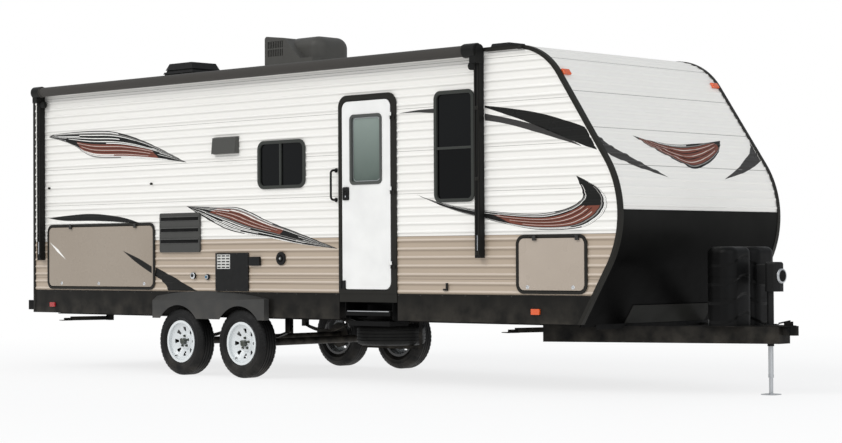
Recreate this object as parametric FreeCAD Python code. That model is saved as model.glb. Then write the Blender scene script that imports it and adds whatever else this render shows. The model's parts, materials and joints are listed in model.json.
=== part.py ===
import FreeCAD
import Part
import math
import os

# A two-axle travel caravan with corrugated siding, standing on its wheels and tongue jack.
# Millimetres. +X runs forward to the coupler, +Y to the left side, +Z up from the ground.
# The origin lies on the ground, midway between the bumper and the coupler's nose.

Vec = FreeCAD.Vector

# Body shell
body_width = 2438.0
body_length = 8527.0
roof_height = 3150.0
roof_thickness = 70.0
roof_crown = 55.0
roof_crown_end = 1.0
crown_run_out = 600.0
floor_height = 880.0
floor_thickness = 80.0
skirt_bottom = 629.0
skirt_top = 885.0
skirt_recess = 2.0
wall_thickness = 45.0
nose_height = 1604.0
nose_radius = 885.0
brow_radius = 634.0
front_slope = 55.7
undercut_angle = 31.8
rear_corner_radius = 60.0
body_to_bumper = 188.0
nose_to_coupler_tip = 998.0
front_panel_gap = 2.0

# Siding: flat sheet with rolled beads
siding_sheet = 2.0
bead_height = 7.0
bead_pitch = 81.0
bead_foot = 34.0
bead_crest = 12.0
colour_line = 1431.0
front_colour_line = 1640.0

# Edge trim, an angle that covers the corners of the shell
trim_face = 31.0
trim_lip = 5.0
trim_return = 33.0
trim_sheet = 4.0
roof_margin_gap = 2.0

# Gutter over the front end of the door side's roof edge
gutter_from_front = 1537.0
gutter_length = 420.0
gutter_height = 26.0
gutter_depth = 24.0
gutter_wall = 4.0
gutter_drop = 10.0
gutter_floor = 8.0
spout_radius = 15.0
spout_reach = 30.0

# Entry door
door_from_rear = 5084.0
door_width = 660.0
door_header = 396.0
door_bottom = 925.0
door_thickness = 38.0
door_proud = 8.0
door_corner = 74.0
door_gap = 8.0
jamb_thickness = 20.0
frame_rear_margin = 52.0
frame_front_margin = 81.0
frame_top_margin = 62.0
frame_bottom_margin = 42.0
frame_corner = 112.0
frame_proud = 10.0
door_axis_gap = 21.0
hinge_radius = 8.0
hinge_knuckle = 34.0
hinge_leaf = 4.0
hinge_lift = 5.0
hinge_leaf_length = 44.0
hinge_count = 3
hinge_end = 200.0
hinge_pin = 4.0
hinge_pin_short = 8.0
hinge_bore_floor = 6.0
# Window in the door: rear margin, drop below the door's top, width, height, corner radius
door_window = (110.0, 130.0, 440.0, 684.0, 52.0)
door_window_ring = 28.0
door_window_proud = 8.0
door_glass_depth = 12.0
# Lock plate: rear margin, height above the door's foot, width, height, corner radius
latch_plate = (14.0, 868.0, 84.0, 128.0, 14.0)
latch_proud = 12.0
latch_pull = (46.0, 66.0, 14.0)
latch_floor = 3.0
latch_paddle = (30.0, 44.0, 6.0)
latch_paddle_set = 4.0

# Windows: mullion, rear edge, drop of the top below the roof, width, height, corner radius
window_ring = 34.0
window_lap = 14.0
window_proud = 12.0
window_reach = 5.0
mullion_width = 24.0
mullion_lap = 3.0
mullion_set = 3.0
upright_mullion = 0.48
level_mullion = 0.485
glass_thickness = 5.0
glass_setback = 8.0
right_windows = [("upright", 3846.0, 728.0, 707.0, 490.0, 92.0)]
left_windows = [
    ("upright", 760.0, 728.0, 707.0, 490.0, 92.0),
    ("upright", 3960.0, 710.0, 1220.0, 610.0, 92.0),
]
# The window near the front, on both sides; its rear edge is measured back from the nose
front_window = ("level", 2205.0, 363.0, 506.0, 1044.0, 76.0)

# Storage hatches: rear edge, sill, width, height; the front one's edge is measured from the nose
rear_hatch = (272.0, 897.0, 1916.0, 724.0)
front_hatch = (1193.0, 897.0, 825.0, 532.0)
hatch_corner = 90.0
hatch_ring = 26.0
hatch_lap = 12.0
hatch_proud = 11.0
hatch_gap = 7.0
hatch_thickness = 36.0
hatch_leaf_set = 3.0
hatch_axis_rise = 12.0
hatch_axis_out = 15.0
hatch_hinge_radius = 6.0
hatch_hinge_places = (0.2, 0.8)
hatch_pin = 3.0
hatch_pin_short = 8.0
hatch_knuckle_length = 40.0
hatch_bore_floor = 6.0
hatch_strap = 6.0
hatch_arm = 5.0
hatch_arm_set = 2.0
hatch_foot_drop = 20.0
hatch_foot_height = 14.0
knuckle_gap = 2.0
running_clearance = 0.1
least_corner = 4.0

# Wall fittings on the door side
vent_panel = (2287.0, 1298.0, 657.0, 417.0, 24.0)
vent_panel_proud = 20.0
louvre_count = 3
# Share of the panel's width, height, depth, and the share of its height that leans
louvre_slot = (0.74, 30.0, 12.0, 0.55)
louvre_margin = 0.75
heater_panel = (3190.0, 892.0, 509.0, 396.0, 8.0)
heater_proud = 14.0
hood_vent = (3160.0, 2314.0, 393.0, 178.0)
hood_proud = 52.0
hood_taper = 14.0
hood_lean = 16.0
hood_lip = 4.0
socket_cover = (3722.0, 1155.0, 161.0, 91.0, 10.0)
socket_proud = 26.0
round_port = (4191.0, 1227.0, 66.0, 36.0)
round_port_proud = 14.0
round_port_floor = 4.0
round_port_cap = (24.0, 17.0)
lock_cap = (2831.0, 1051.0, 34.0)
lock_proud = 22.0
lock_rounding = 8.0
valve_port = (3055.0, 1038.0, 30.0)
# Door holder: reach from the door's axis, height, length, height of the post, thickness
door_holder = (668.0, 955.0, 52.0, 70.0, 16.0)
# Round bumper above the rear hatch: beads above the colour line, diameter, reach, end margins
hatch_catch = (7.5, 26.0, 20.0, 36.0, 50.0)
grab_rail_from_door = 92.0
grab_rail_bottom = 1800.0
grab_rail_height = 290.0
grab_rail_reach = 74.0
grab_rail_radius = 11.0
grab_rail_bend = 34.0
grab_rail_pad = (22.0, 5.0)
left_socket = (5400.0, 1120.0, 180.0, 180.0, 16.0)
left_heater = (2560.0, 1000.0, 330.0, 330.0, 10.0)

# Wheels and running gear
wheel_radius = 356.0
tyre_width = 212.0
rear_axle_from_rear = 2637.0
axle_spacing = 963.0
wheel_face_out = 41.0
tyre_crown_drop = 6.0
tyre_shoulder = (30.0, 8.0, 34.0)
tyre_tread_inset = 48.0
tyre_bead_rise = 52.0
rim_lip_radius = 222.0
rim_barrel_radius = 202.0
rim_wall = 5.0
rim_width = 176.0
rim_lip_thickness = 8.0
disc_dish = 58.0
disc_cone = 26.0
disc_ridge = 14.0
disc_ridge_run = 16.0
disc_thickness = 7.0
hub_flange_radius = 78.0
# Rounded windows between the spokes
spoke_windows = 8
window_inner_radius = 106.0
window_outer_radius = 154.0
window_outer_half = 26.0
window_inner_half = 10.0
window_rounding = 8.0
hub_radius = 33.0
hub_reach = 46.0
hub_rounding = 8.0
hub_wall = 12.0
hub_lap = 2.0
drum_radius = 132.0
drum_width = 62.0
drum_gap = 16.0
spindle_radius = 19.0
spindle_end_gap = 4.0
axle_radius = 38.0
backing_radius = 140.0
backing_thickness = 6.0
backing_gap = 6.0

# Spare wheel, lying flat under the frame on a cross bar that hangs from the rails
spare_from_rear = 4540.0
spare_bottom = 325.0
spare_bar_width = 44.0
spare_bar_height = 36.0
spare_seat_gap = 0.3
spare_hanger = 6.0

# Leaf springs: half span, eye height, thickness at the seat
spring_half_span = 325.0
spring_eye_height = 478.0
spring_seat_thickness = 34.0
spring_end_thickness = 14.0
spring_width = 45.0
spring_eye_radius = 16.0
hanger_width = 62.0
hanger_plate = 6.0
hanger_drop = 6.0
hanger_pin = 8.0
spring_side_gap = 0.3
equaliser_rise = 58.0
equaliser_height = 34.0
equaliser_end = 10.0
equaliser_taper = 0.2
equaliser_pin = 9.0
equaliser_pin_rise = 8.0
equaliser_hanger = (60.0, 8.0)
link_width = 24.0
link_drop = 14.0

# Fender skirts: a moulding with a flat upper edge outside and an arched one on the wall
fender_rear_overhang = 418.0
fender_front_overhang = 398.0
fender_edge_rear = 787.0
fender_edge_front = 815.0
fender_wall_rear = 835.0
fender_wall_front = 815.0
fender_top = 890.0
fender_bottom = 600.0
fender_arch = 385.0
fender_out = 66.0
fender_shell = 7.0
fender_lap = 14.0

# Chassis: places from the rear wall, and from the nose for what belongs to the front
rail_offset = 870.0
rail_height = 196.0
rail_flange = 76.0
rail_web = 7.0
rail_flange_thickness = 10.0
rail_rear_gap = 40.0
rail_front_gap = 527.0
cross_width = 50.0
cross_height = 96.0
cross_web = 5.0
cross_flange = 6.0
cross_from_rear = [120.0, 1400.0, 2150.0, 4120.0, 4960.0, 5880.0]
cross_from_front = [1827.0, 627.0]
outriggers_from_rear = [700.0, 1400.0, 4300.0]
outriggers_from_front = [2277.0, 1527.0]
outrigger_width = 40.0
outrigger_tip = 40.0
outrigger_gap = 4.0

# Drawbar, coupler and tongue jack
drawbar_height = 150.0
drawbar_width = 62.0
drawbar_wall = 8.0
drawbar_lap_from_front = 1169.0
drawbar_front_half = 52.0
drawbar_past_coupler = 130.0
head_plate_half = 88.0
head_plate_behind_jack = 90.0
head_plate_front = 30.0
tray_margin = 20.0
tray_cross = 40.0
tray_cross_height = 60.0
coupler_back_from_tip = 300.0
coupler_back_half = 120.0
coupler_plate = 12.0
coupler_neck_set = 4.0
ball_radius = 29.8
ball_depth = 40.0
socket_wall = 13.0
socket_top = 14.0
socket_lip = 8.0
coupler_nose_height = 556.0
latch_block = (86.0, 18.0, 34.0, 10.0)
latch_lever = (112.0, 24.0, 11.0)
latch_lever_back = 40.0
jack_from_tip = 284.0
jack_tube_radius = 30.0
jack_hole_gap = 0.5
jack_tube_top = 930.0
jack_tube_bottom = 430.0
jack_tube_cap = 60.0
jack_flange = (62.0, 10.0)
jack_leg_radius = 23.0
jack_foot_half = 72.0
jack_foot_thickness = 8.0
jack_foot_corner = 26.0
jack_drop_radius = 18.5
jack_drop_top = 180.0
jack_collar = (2.0, 28.0)
jack_pin = (5.0, 36.0, 14.0)
jack_travel = 240.0
jack_leg_reserve = 10.0
# Power head over the tube: length, width, foot, top, corner radius, edge radius, shift forward
jack_head = (150.0, 124.0, 912.0, 1174.0, 44.0, 24.0, 42.0)
jack_motor = (130.0, 104.0, 978.0, 1156.0, 26.0, 14.0, -62.0)
gas_cover_depth = 300.0
gas_cover_width = 740.0
gas_cover_height = 700.0
gas_cover_from_nose = 248.0
gas_cover_corner = 118.0
gas_cover_edge = 64.0
gas_cover_wall = 6.0
gas_cover_valley = 30.0
# Moulded grooves round the cover: height above the tray, width and depth
gas_cover_grooves = [235.0, 425.0]
gas_cover_groove = (12.0, 3.0)
tray_thickness = 8.0
kick_plate = (1210.0, 163.0, 626.0, 6.0)

# Rear bumper
bumper_size = 100.0
bumper_half_width = 1150.0
bumper_bottom = 660.0
bumper_arm = 60.0
bumper_arm_set = 10.0
bumper_cap = (8.0, 4.0)
rear_skirt_gap = 30.0

# Stabiliser legs, folded under the frame
rear_stabiliser_from_rear = 560.0
front_stabiliser_from_front = 1237.0
stabiliser_inboard = 560.0
stabiliser_length = 585.0
stabiliser_turn = 20.0
stabiliser_pivot_height = 556.0
stabiliser_width = 56.0
stabiliser_depth = 44.0
stabiliser_wall = 5.0
stabiliser_pin = 8.0
stabiliser_foot = 120.0
stabiliser_foot_flare = 34.0
stabiliser_foot_plate = 7.0
stabiliser_heel = 24.0
stabiliser_trough_end = 30.0
stabiliser_stem = (8.0, 40.0, 14.0)
stabiliser_ear = 6.0
stabiliser_gap = 6.0
stabiliser_ear_drop = 26.0
stabiliser_ear_run = 30.0
stabiliser_ear_reach = 36.0
# Cross bar that carries two legs: half width, height, wall and header plate
mount_bar_half = 40.0
mount_bar_height = 52.0
mount_bar_wall = 6.0
header_plate = 8.0
header_half = 40.0

# Entry step: two level treads, each hung on a pair of swinging arms
step_width = 640.0
step_from_door = 22.0
step_plate = 6.0
step_gap = 6.0
step_pivot_height = 719.0
step_pivot_inset = 30.0
step_arm = 200.0
step_arm_width = 30.0
step_upper_angle = 8.0
step_lower_angle = 14.8
step_tread_depth = 250.0
step_tread_height = 45.0
step_tread_lead = 10.0
step_tread_back = 14.0
step_tread_sheet = 4.0
step_tread_fold = 22.0
step_ear_drop = 26.0
step_ear_inset = 61.0
step_ear_half = 18.0
step_ear_lap = 10.0
step_pin = 6.0
step_pin_lap = 2.0
step_frame_bottom = 640.0
step_frame_bar = 30.0
step_frame_gap = 4.0

# Awning: its roller and arms hang from the roof's edge
awning_radius = 52.0
awning_drop = 22.0
awning_out = 84.0
roller_gap_rear = 61.0
roller_gap_front = 84.0
roller_cap = (62.0, 14.0)
roller_strip = (8.0, 6.0)
arm_width = 66.0
arm_depth = 64.0
arm_groove = (10.0, 12.0)
arm_groove_places = (0.28, 0.66)
arm_groove_end = 30.0
arm_bottom = 1222.0
arm_top_drop = 140.0
rear_arm_from_rear = 150.0
front_arm_from_front = 1645.0
# Head on each arm: radius round the roller, radius over the arm, side laps
head_roller_radius = 66.0
head_arm_radius = 58.0
head_lap = 6.0
# Tilt knob beside the arm: radius, distance off the arm, thickness, drop below the arm's top
tilt_knob = (38.0, 36.0, 40.0, 20.0)

# Roof fittings
air_conditioner_from_rear = 2980.0
air_conditioner_size = (750.0, 680.0, 420.0)
air_conditioner_base = 150.0
# Rear part: how far its top runs forward, and how far its foot does
air_conditioner_fin = (300.0, 560.0)
air_conditioner_top_fall = 35.0
# Nose block: start, width, drop below the rear part's top
air_conditioner_nose = (330.0, 500.0, 30.0)
air_conditioner_nose_corner = 135.0
air_conditioner_nose_round = 120.0
air_conditioner_edge = 34.0
# Side grille: slots, rows, start, run, foot above the roof, row height, slot width, depth
air_grille = (9, 2, 50.0, 250.0, 195.0, 74.0, 16.0, 12.0)
air_grille_gap = 14.0
roof_vent_from_rear = 1080.0
roof_vent_size = (590.0, 480.0, 255.0)
roof_vent_taper = 100.0
roof_vent_slots = 3
# Slot round a roof vent: height, depth, start above the roof
vent_slot = (22.0, 14.0, 70.0)
low_vent_from_front = 1942.0
low_vent_offset = 600.0
low_vent_size = (250.0, 250.0, 60.0)
low_vent_taper = 18.0
vent_side_taper = 0.6
vent_upright = 0.3

# Lamps
lamp_corner = 8.0
amber_side = (1017.0, 736.0, 100.0, 52.0)
red_side = (316.0, 720.0, 92.0, 50.0)
side_lamp_proud = 14.0
brow_lamp_drop = 300.0
brow_lamp_inset = 95.0
brow_lamp_size = (100.0, 56.0, 24.0)
brow_lamp_rounding = 14.0
tail_lamp = (1010.0, 980.0, 140.0, 230.0, 22.0)
identity_spacing = 200.0
identity_drop = 139.5
identity_lamp = (64.0, 26.0, 16.0)

# Derived places
half_width = body_width / 2
siding_depth = siding_sheet + bead_height
wall_outer = half_width - siding_depth
wall_inner = wall_outer - wall_thickness
total_length = body_to_bumper + body_length + nose_to_coupler_tip
rear_x = body_to_bumper - total_length / 2
front_x = rear_x + body_length
tip_x = total_length / 2
floor_bottom = floor_height - floor_thickness
skirt_inner = wall_outer
skirt_outer = half_width - skirt_recess
rail_bottom = floor_bottom - rail_height
door_height = roof_height - door_header - door_bottom
awning_height = roof_height - awning_drop
arm_top = roof_height - arm_top_drop
roof_flat = wall_outer - trim_return - roof_margin_gap
slope = math.radians(front_slope)
undercut = math.radians(undercut_angle)
slope_normal = (math.sin(slope), math.cos(slope))
nose_centre = (front_x - nose_radius, nose_height)
brow_centre_z = roof_height - brow_radius
brow_centre_x = (
    nose_centre[0] * slope_normal[0]
    + (nose_centre[1] - brow_centre_z) * slope_normal[1]
    + nose_radius
    - brow_radius
) / slope_normal[0]
axle_xs = [rear_x + rear_axle_from_rear, rear_x + rear_axle_from_rear + axle_spacing]
wheel_centre_y = half_width + wheel_face_out - tyre_width / 2
door_face = -half_width - door_proud
hatch_face = -half_width - hatch_proud + hatch_leaf_set


def from_rear(distance):
    return rear_x + distance


def from_front(distance):
    return front_x - distance


def line(start, end):
    return Part.LineSegment(start, end).toShape()


def arc(start, middle, end):
    return Part.Arc(start, middle, end).toShape()


def box(x0, x1, y0, y1, z0, z1):
    return Part.makeBox(x1 - x0, y1 - y0, z1 - z0, Vec(x0, y0, z0))


def rod(radius, start, end):
    along = end - start
    return Part.makeCylinder(radius, along.Length, start, along)


def fused(shapes):
    joined = shapes[0].multiFuse(shapes[1:]) if len(shapes) > 1 else shapes[0]
    return joined.removeSplitter()


def prism(points, along):
    wire = Part.makePolygon(points + [points[0]])
    return Part.Face(wire).extrude(along)


def mirrored(shape):
    return shape.mirror(Vec(0, 0, 0), Vec(0, 1, 0))


def both_sides(shapes):
    return shapes + [mirrored(shape) for shape in shapes]


def write(name, shapes):
    """Writes one node from its solids."""
    solids = [solid for shape in shapes for solid in shape.Solids]
    whole = solids[0] if len(solids) == 1 else Part.makeCompound(solids)
    whole.exportStep("parts/" + name + ".step")


def rounded_plate(x0, z0, width, height, radius, y0, y1):
    """A plate in the XZ plane with rounded corners, from y0 to y1."""
    plate = box(x0, x0 + width, y0, y1, z0, z0 + height)
    if radius <= 0:
        return plate
    upright = [e for e in plate.Edges if abs(e.tangentAt(e.FirstParameter).y) > 0.9]
    return plate.makeFillet(min(radius, width / 2 - 1, height / 2 - 1), upright)


def inset_plate(rect, radius, inset, y0, y1):
    x0, z0, width, height = rect
    inner = max(radius - inset, least_corner)
    return rounded_plate(x0 + inset, z0 + inset, width - 2 * inset, height - 2 * inset, inner, y0, y1)


def outline(inset, bottom, y):
    """The body's side outline, moved inwards by inset and closed along the bottom height."""
    brow = brow_radius - inset
    nose = nose_radius - inset
    brow_z = brow_centre_z + brow

    def at(centre_x, centre_z, radius, angle):
        return Vec(centre_x + radius * math.sin(angle), y, centre_z + radius * math.cos(angle))

    top_front = Vec(brow_centre_x, y, brow_z)
    brow_mid = at(brow_centre_x, brow_centre_z, brow, slope / 2)
    brow_end = at(brow_centre_x, brow_centre_z, brow, slope)
    nose_start = at(nose_centre[0], nose_centre[1], nose, slope)
    nose_end_angle = math.pi / 2 + undercut
    nose_mid = at(nose_centre[0], nose_centre[1], nose, (slope + nose_end_angle) / 2)
    nose_end = at(nose_centre[0], nose_centre[1], nose, nose_end_angle)
    chin = Vec(nose_end.x - (nose_end.z - bottom) * math.tan(undercut), y, bottom)
    rear = rear_x + inset
    corner = max(rear_corner_radius - inset, 0)
    edges = [
        line(top_front, Vec(rear + corner, y, brow_z)),
        arc(top_front, brow_mid, brow_end),
        line(brow_end, nose_start),
        arc(nose_start, nose_mid, nose_end),
        line(nose_end, chin),
        line(chin, Vec(rear, y, bottom)),
        line(Vec(rear, y, bottom), Vec(rear, y, brow_z - corner)),
    ]
    if corner > 0:
        cut = corner * (1 - math.sqrt(0.5))
        middle = Vec(rear + cut, y, brow_z - cut)
        edges.append(arc(Vec(rear, y, brow_z - corner), middle, Vec(rear + corner, y, brow_z)))
    return Part.Wire(Part.__sortEdges__(edges))


def body_prism(inset, bottom, y0, y1):
    return Part.Face(outline(inset, bottom, y0)).extrude(Vec(0, y1 - y0, 0))


def window_rects(side):
    """(rectangle, corner radius, mullion) of each window, the front one last."""
    windows = right_windows if side == "right" else left_windows
    rects = []
    for kind, u, drop, w, h, r in windows:
        rects.append(((from_rear(u), roof_height - drop - h, w, h), r, kind))
    kind, u, drop, w, h, r = front_window
    rects.append(((from_front(u), roof_height - drop - h, w, h), r, kind))
    return rects


def hatch_rects(side):
    """Hatch rectangles; the front hatch is on both sides, the long rear one on the right."""
    u, z, w, h = front_hatch
    rects = [(from_front(u), z, w, h)]
    if side == "right":
        u, z, w, h = rear_hatch
        rects.insert(0, (from_rear(u), z, w, h))
    return rects


door_x = from_rear(door_from_rear)
jamb_rect = (
    door_x - door_gap - jamb_thickness,
    floor_height,
    door_width + 2 * (door_gap + jamb_thickness),
    door_bottom + door_height + door_gap + jamb_thickness - floor_height,
)
jamb_corner = door_corner + door_gap + jamb_thickness


def door_cutout(y0, y1):
    """The hole in wall and siding that the door's jamb fits, square at the floor."""
    x0, z0, width, height = jamb_rect
    arch = rounded_plate(x0, z0, width, height, jamb_corner, y0, y1)
    return arch.fuse(box(x0, x0 + width, y0, y1, floor_bottom, z0 + jamb_corner + 1))


def side_cutouts(side, y0, y1):
    cuts = [inset_plate(rect, r, window_lap - 1, y0, y1) for rect, r, kind in window_rects(side)]
    cuts += [inset_plate(rect, hatch_corner, hatch_lap - 1, y0, y1) for rect in hatch_rects(side)]
    if side == "right":
        cuts.append(door_cutout(y0, y1))
    return cuts


def side_wall(side):
    """One side's framed wall, drawn on the right and mirrored for the left."""
    wall = body_prism(siding_depth, floor_height, -wall_outer, -wall_inner)
    under_roof = roof_height - roof_thickness
    wall = wall.cut(box(rear_x - 1, brow_centre_x, -wall_outer, -wall_inner, under_roof, roof_height))
    for cut in side_cutouts(side, -wall_outer - 1, -wall_inner + 1):
        wall = wall.cut(cut)
    return wall if side == "right" else mirrored(wall)


def beads_between(low, high):
    """Bead centres between two heights, on one grid for the whole body."""
    first = math.ceil((low + bead_foot / 2 + 2 - colour_line) / bead_pitch - 0.5)
    last = math.floor((high - bead_foot / 2 - 2 - colour_line) / bead_pitch - 0.5)
    return [colour_line + (k + 0.5) * bead_pitch for k in range(first, last + 1)]


def siding_section(low, high):
    """(depth, height) points of a ribbed sheet, from its foot to its top edge."""
    points = [(siding_sheet, low)]
    for centre in beads_between(low, high):
        points += [
            (siding_sheet, centre - bead_foot / 2),
            (siding_depth, centre - bead_crest / 2),
            (siding_depth, centre + bead_crest / 2),
            (siding_sheet, centre + bead_foot / 2),
        ]
    points.append((siding_sheet, high))
    return points


def side_siding(side, low, high):
    section = [Vec(rear_x, -wall_outer - depth, z) for depth, z in siding_section(low, high)]
    section += [Vec(rear_x, -wall_outer, high), Vec(rear_x, -wall_outer, low)]
    sheet = prism(section, Vec(body_length, 0, 0))
    sheet = sheet.common(body_prism(trim_face, skirt_bottom, -half_width - 1, -wall_outer + 1))
    for cut in side_cutouts(side, -half_width - 2, -wall_outer + 2):
        sheet = sheet.cut(cut)
    return sheet if side == "right" else mirrored(sheet)


def rear_siding(low, high):
    wall_x = rear_x + siding_depth
    section = [Vec(wall_x - depth, -wall_outer, z) for depth, z in siding_section(low, high)]
    section += [Vec(wall_x, -wall_outer, high), Vec(wall_x, -wall_outer, low)]
    return prism(section, Vec(0, 2 * wall_outer, 0))


def front_path(distance):
    """Point and outward normal on the front's outer skin, measured down from the brow's top."""
    brow_arc = brow_radius * slope
    straight = math.dist(
        (brow_centre_x + brow_radius * slope_normal[0], brow_centre_z + brow_radius * slope_normal[1]),
        (nose_centre[0] + nose_radius * slope_normal[0], nose_centre[1] + nose_radius * slope_normal[1]),
    )
    if distance < brow_arc:
        angle = distance / brow_radius
        centre, radius = (brow_centre_x, brow_centre_z), brow_radius
    elif distance < brow_arc + straight:
        along = distance - brow_arc
        x = brow_centre_x + brow_radius * slope_normal[0] + along * math.cos(slope)
        z = brow_centre_z + brow_radius * slope_normal[1] - along * math.sin(slope)
        return (x, z), slope_normal
    else:
        angle = slope + (distance - brow_arc - straight) / nose_radius
        centre, radius = nose_centre, nose_radius
    normal = (math.sin(angle), math.cos(angle))
    return (centre[0] + radius * normal[0], centre[1] + radius * normal[1]), normal


def front_distance_at(height):
    """How far down the front skin its surface reaches this height."""
    low, high = 0.0, body_length
    for halving in range(40):
        middle = (low + high) / 2
        if front_path(middle)[0][1] > height:
            low = middle
        else:
            high = middle
    return low


def front_bead_centres():
    """Distances of the bead centres down the front, evenly spread to the colour line."""
    length = front_distance_at(front_colour_line)
    count = int(length // bead_pitch)
    return [(k + 0.5) * length / count for k in range(count)]


def front_siding():
    """Ribbed sheet that follows the front's curve down to the colour line."""
    outer = [(0.0, bead_height)]
    for centre in front_bead_centres():
        outer += [
            (centre - bead_foot / 2, bead_height),
            (centre - bead_crest / 2, 0.0),
            (centre + bead_crest / 2, 0.0),
            (centre + bead_foot / 2, bead_height),
        ]
    outer.append((front_distance_at(front_colour_line) + bead_foot, bead_height))

    def place(distance, inset):
        (x, z), normal = front_path(distance)
        return Vec(x - inset * normal[0], -wall_outer, z - inset * normal[1])

    rolled = [place(distance, inset) for distance, inset in outer]
    inside = [Vec(rolled[0].x, -wall_outer, rolled[-1].z)]
    sheet = prism(rolled + inside, Vec(0, 2 * wall_outer, 0))
    sheet = sheet.cut(body_prism(siding_depth, skirt_bottom, -wall_outer - 1, wall_outer + 1))
    above = box(rolled[0].x - 1, front_x + 1, -wall_outer, wall_outer, front_colour_line, roof_height + 1)
    return sheet.common(above)


def front_wall():
    shell = body_prism(siding_depth, floor_height, -wall_inner, wall_inner)
    shell = shell.cut(
        body_prism(siding_depth + wall_thickness, floor_height - 1, -wall_inner - 1, wall_inner + 1)
    )
    return shell.common(
        box(brow_centre_x, front_x + 1, -wall_inner, wall_inner, floor_height, roof_height)
    )


def front_panel():
    """The smooth dark panel below the front's colour line, with its raised kick plate."""
    foot = rail_bottom + front_panel_gap
    x0, x1 = nose_centre[0], front_x + 1
    shell = body_prism(0, foot, -wall_outer, wall_outer)
    shell = shell.cut(body_prism(siding_depth, foot - 1, -wall_outer - 1, wall_outer + 1))
    shell = shell.common(box(x0, x1, -wall_outer, wall_outer, foot, front_colour_line))
    width, height, bottom, proud = kick_plate
    plate = body_prism(-proud, foot, -width / 2, width / 2)
    plate = plate.cut(body_prism(0, foot - 1, -width, width))
    plate = plate.common(box(x0, x1, -width / 2, width / 2, bottom, bottom + height))
    return shell.fuse(plate).removeSplitter()


def rear_wall():
    x0 = rear_x + siding_depth
    under_roof = roof_height - roof_thickness
    return box(x0, x0 + wall_thickness, -wall_inner, wall_inner, floor_height, under_roof)


def roof_section(x, crown):
    """The slab's cross-section: flat margins under the edge trim and a crown between them."""
    low = roof_height - roof_thickness
    corners = [(-roof_flat, roof_height), (-wall_outer, roof_height), (-wall_outer, low)]
    corners += [(-y, z) for y, z in reversed(corners)]
    rim = [Vec(x, y, z) for y, z in corners]
    edges = [line(a, b) for a, b in zip(rim, rim[1:])]
    edges.append(arc(rim[-1], Vec(x, 0, roof_height + crown), rim[0]))
    return Part.Wire(edges)


def roof():
    """A crowned slab whose crown runs out to a flat edge at the brow."""
    x0, x1, x2 = rear_x + siding_depth, brow_centre_x - crown_run_out, brow_centre_x
    main = Part.Face(roof_section(x0, roof_crown)).extrude(Vec(x1 - x0, 0, 0))
    ends = [roof_section(x1, roof_crown), roof_section(x2, roof_crown_end)]
    run_out = Part.makeLoft(ends, True, True)
    slab = main.fuse(run_out)
    corner_x = rear_x + rear_corner_radius
    corner_z = roof_height - rear_corner_radius
    corner = box(x0 - 1, corner_x, -half_width, half_width, corner_z, roof_height + roof_crown + 1)
    return slab.cut(corner.cut(body_prism(0, skirt_bottom, -half_width, half_width)))


def roof_top(y):
    """Height of the roof's crown at a distance from the centre line."""
    radius = (roof_flat**2 + roof_crown**2) / (2 * roof_crown)
    return roof_height + roof_crown - radius + math.sqrt(radius**2 - y**2)


def floor_panel():
    slab = body_prism(siding_depth, floor_bottom, -skirt_inner, skirt_inner)
    return slab.common(box(rear_x, front_x, -skirt_inner, skirt_inner, floor_bottom, floor_height))


def edge_trim():
    """Right-hand corner angle: a face strip on the side and a lip over front, roof and rear."""
    face_y = -half_width - trim_sheet
    strip = body_prism(-trim_lip, skirt_bottom, face_y, -wall_outer)
    strip = strip.cut(body_prism(trim_face, skirt_bottom - 1, face_y - 1, -wall_outer + 1))
    lip = body_prism(-trim_lip, skirt_bottom, -wall_outer, -wall_outer + trim_return)
    lip = lip.cut(body_prism(0, skirt_bottom - 1, -wall_outer - 1, -wall_outer + trim_return + 1))
    return strip.fuse(lip).removeSplitter()


def gutter():
    """Open trough along the roof's edge, with a spout at its front end."""
    x0 = from_front(gutter_from_front)
    x1 = x0 + gutter_length
    back = -half_width - trim_sheet
    top = roof_height - gutter_drop
    foot = top - gutter_height
    front = back - gutter_depth
    rail = box(x0, x1, front, back, foot, top)
    trough = box(x0 - 1, x1 + 1, front + gutter_wall, back - gutter_wall, foot + gutter_floor, top + 1)
    start = Vec(x1 - spout_radius, front, foot + gutter_floor)
    spout = rod(spout_radius, start, start + Vec(spout_radius + spout_reach, 0, 0))
    return rail.cut(trough).fuse(spout)


def fender_outline(inset, foot, y, arched):
    """The moulding's outline: its upper edge is straight outside and arched on the wall."""
    x0 = axle_xs[0] - fender_rear_overhang + inset
    x1 = axle_xs[1] + fender_front_overhang - inset
    rear_top = fender_wall_rear if arched else fender_edge_rear
    front_top = fender_wall_front if arched else fender_edge_front
    rear_corner = Vec(x0, y, rear_top - inset)
    front_corner = Vec(x1, y, front_top - inset)
    upper = line(rear_corner, front_corner)
    if arched:
        upper = arc(rear_corner, Vec((x0 + x1) / 2, y, fender_top - inset), front_corner)
    return Part.Wire(
        [
            line(Vec(x0, y, foot), rear_corner),
            upper,
            line(front_corner, Vec(x1, y, foot)),
            line(Vec(x1, y, foot), Vec(x0, y, foot)),
        ]
    )


def skirts():
    """Dark metal panels below the siding, open at the wheels and at the entry step."""
    side = body_prism(trim_face, skirt_bottom, -skirt_outer, -skirt_inner)
    side = side.common(box(rear_x, front_x, -half_width, -skirt_inner, skirt_bottom, skirt_top))
    wheel_opening = Part.Face(fender_outline(fender_lap, 0, -half_width, True))
    side = side.cut(wheel_opening.extrude(Vec(0, half_width - skirt_inner, 0)))
    left = mirrored(side)
    gap_rear = door_x - frame_rear_margin - step_plate
    gap_front = door_x + door_width + frame_front_margin
    gap = box(gap_rear, gap_front, -half_width, -skirt_inner, 0, skirt_top + 1)
    rear_foot = bumper_bottom + bumper_size + rear_skirt_gap
    sheet_x = rear_x + siding_depth - siding_sheet
    rear = box(sheet_x, rear_x + siding_depth, -skirt_inner, skirt_inner, rear_foot, skirt_top)
    return [side.cut(gap), left, rear]


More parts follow.
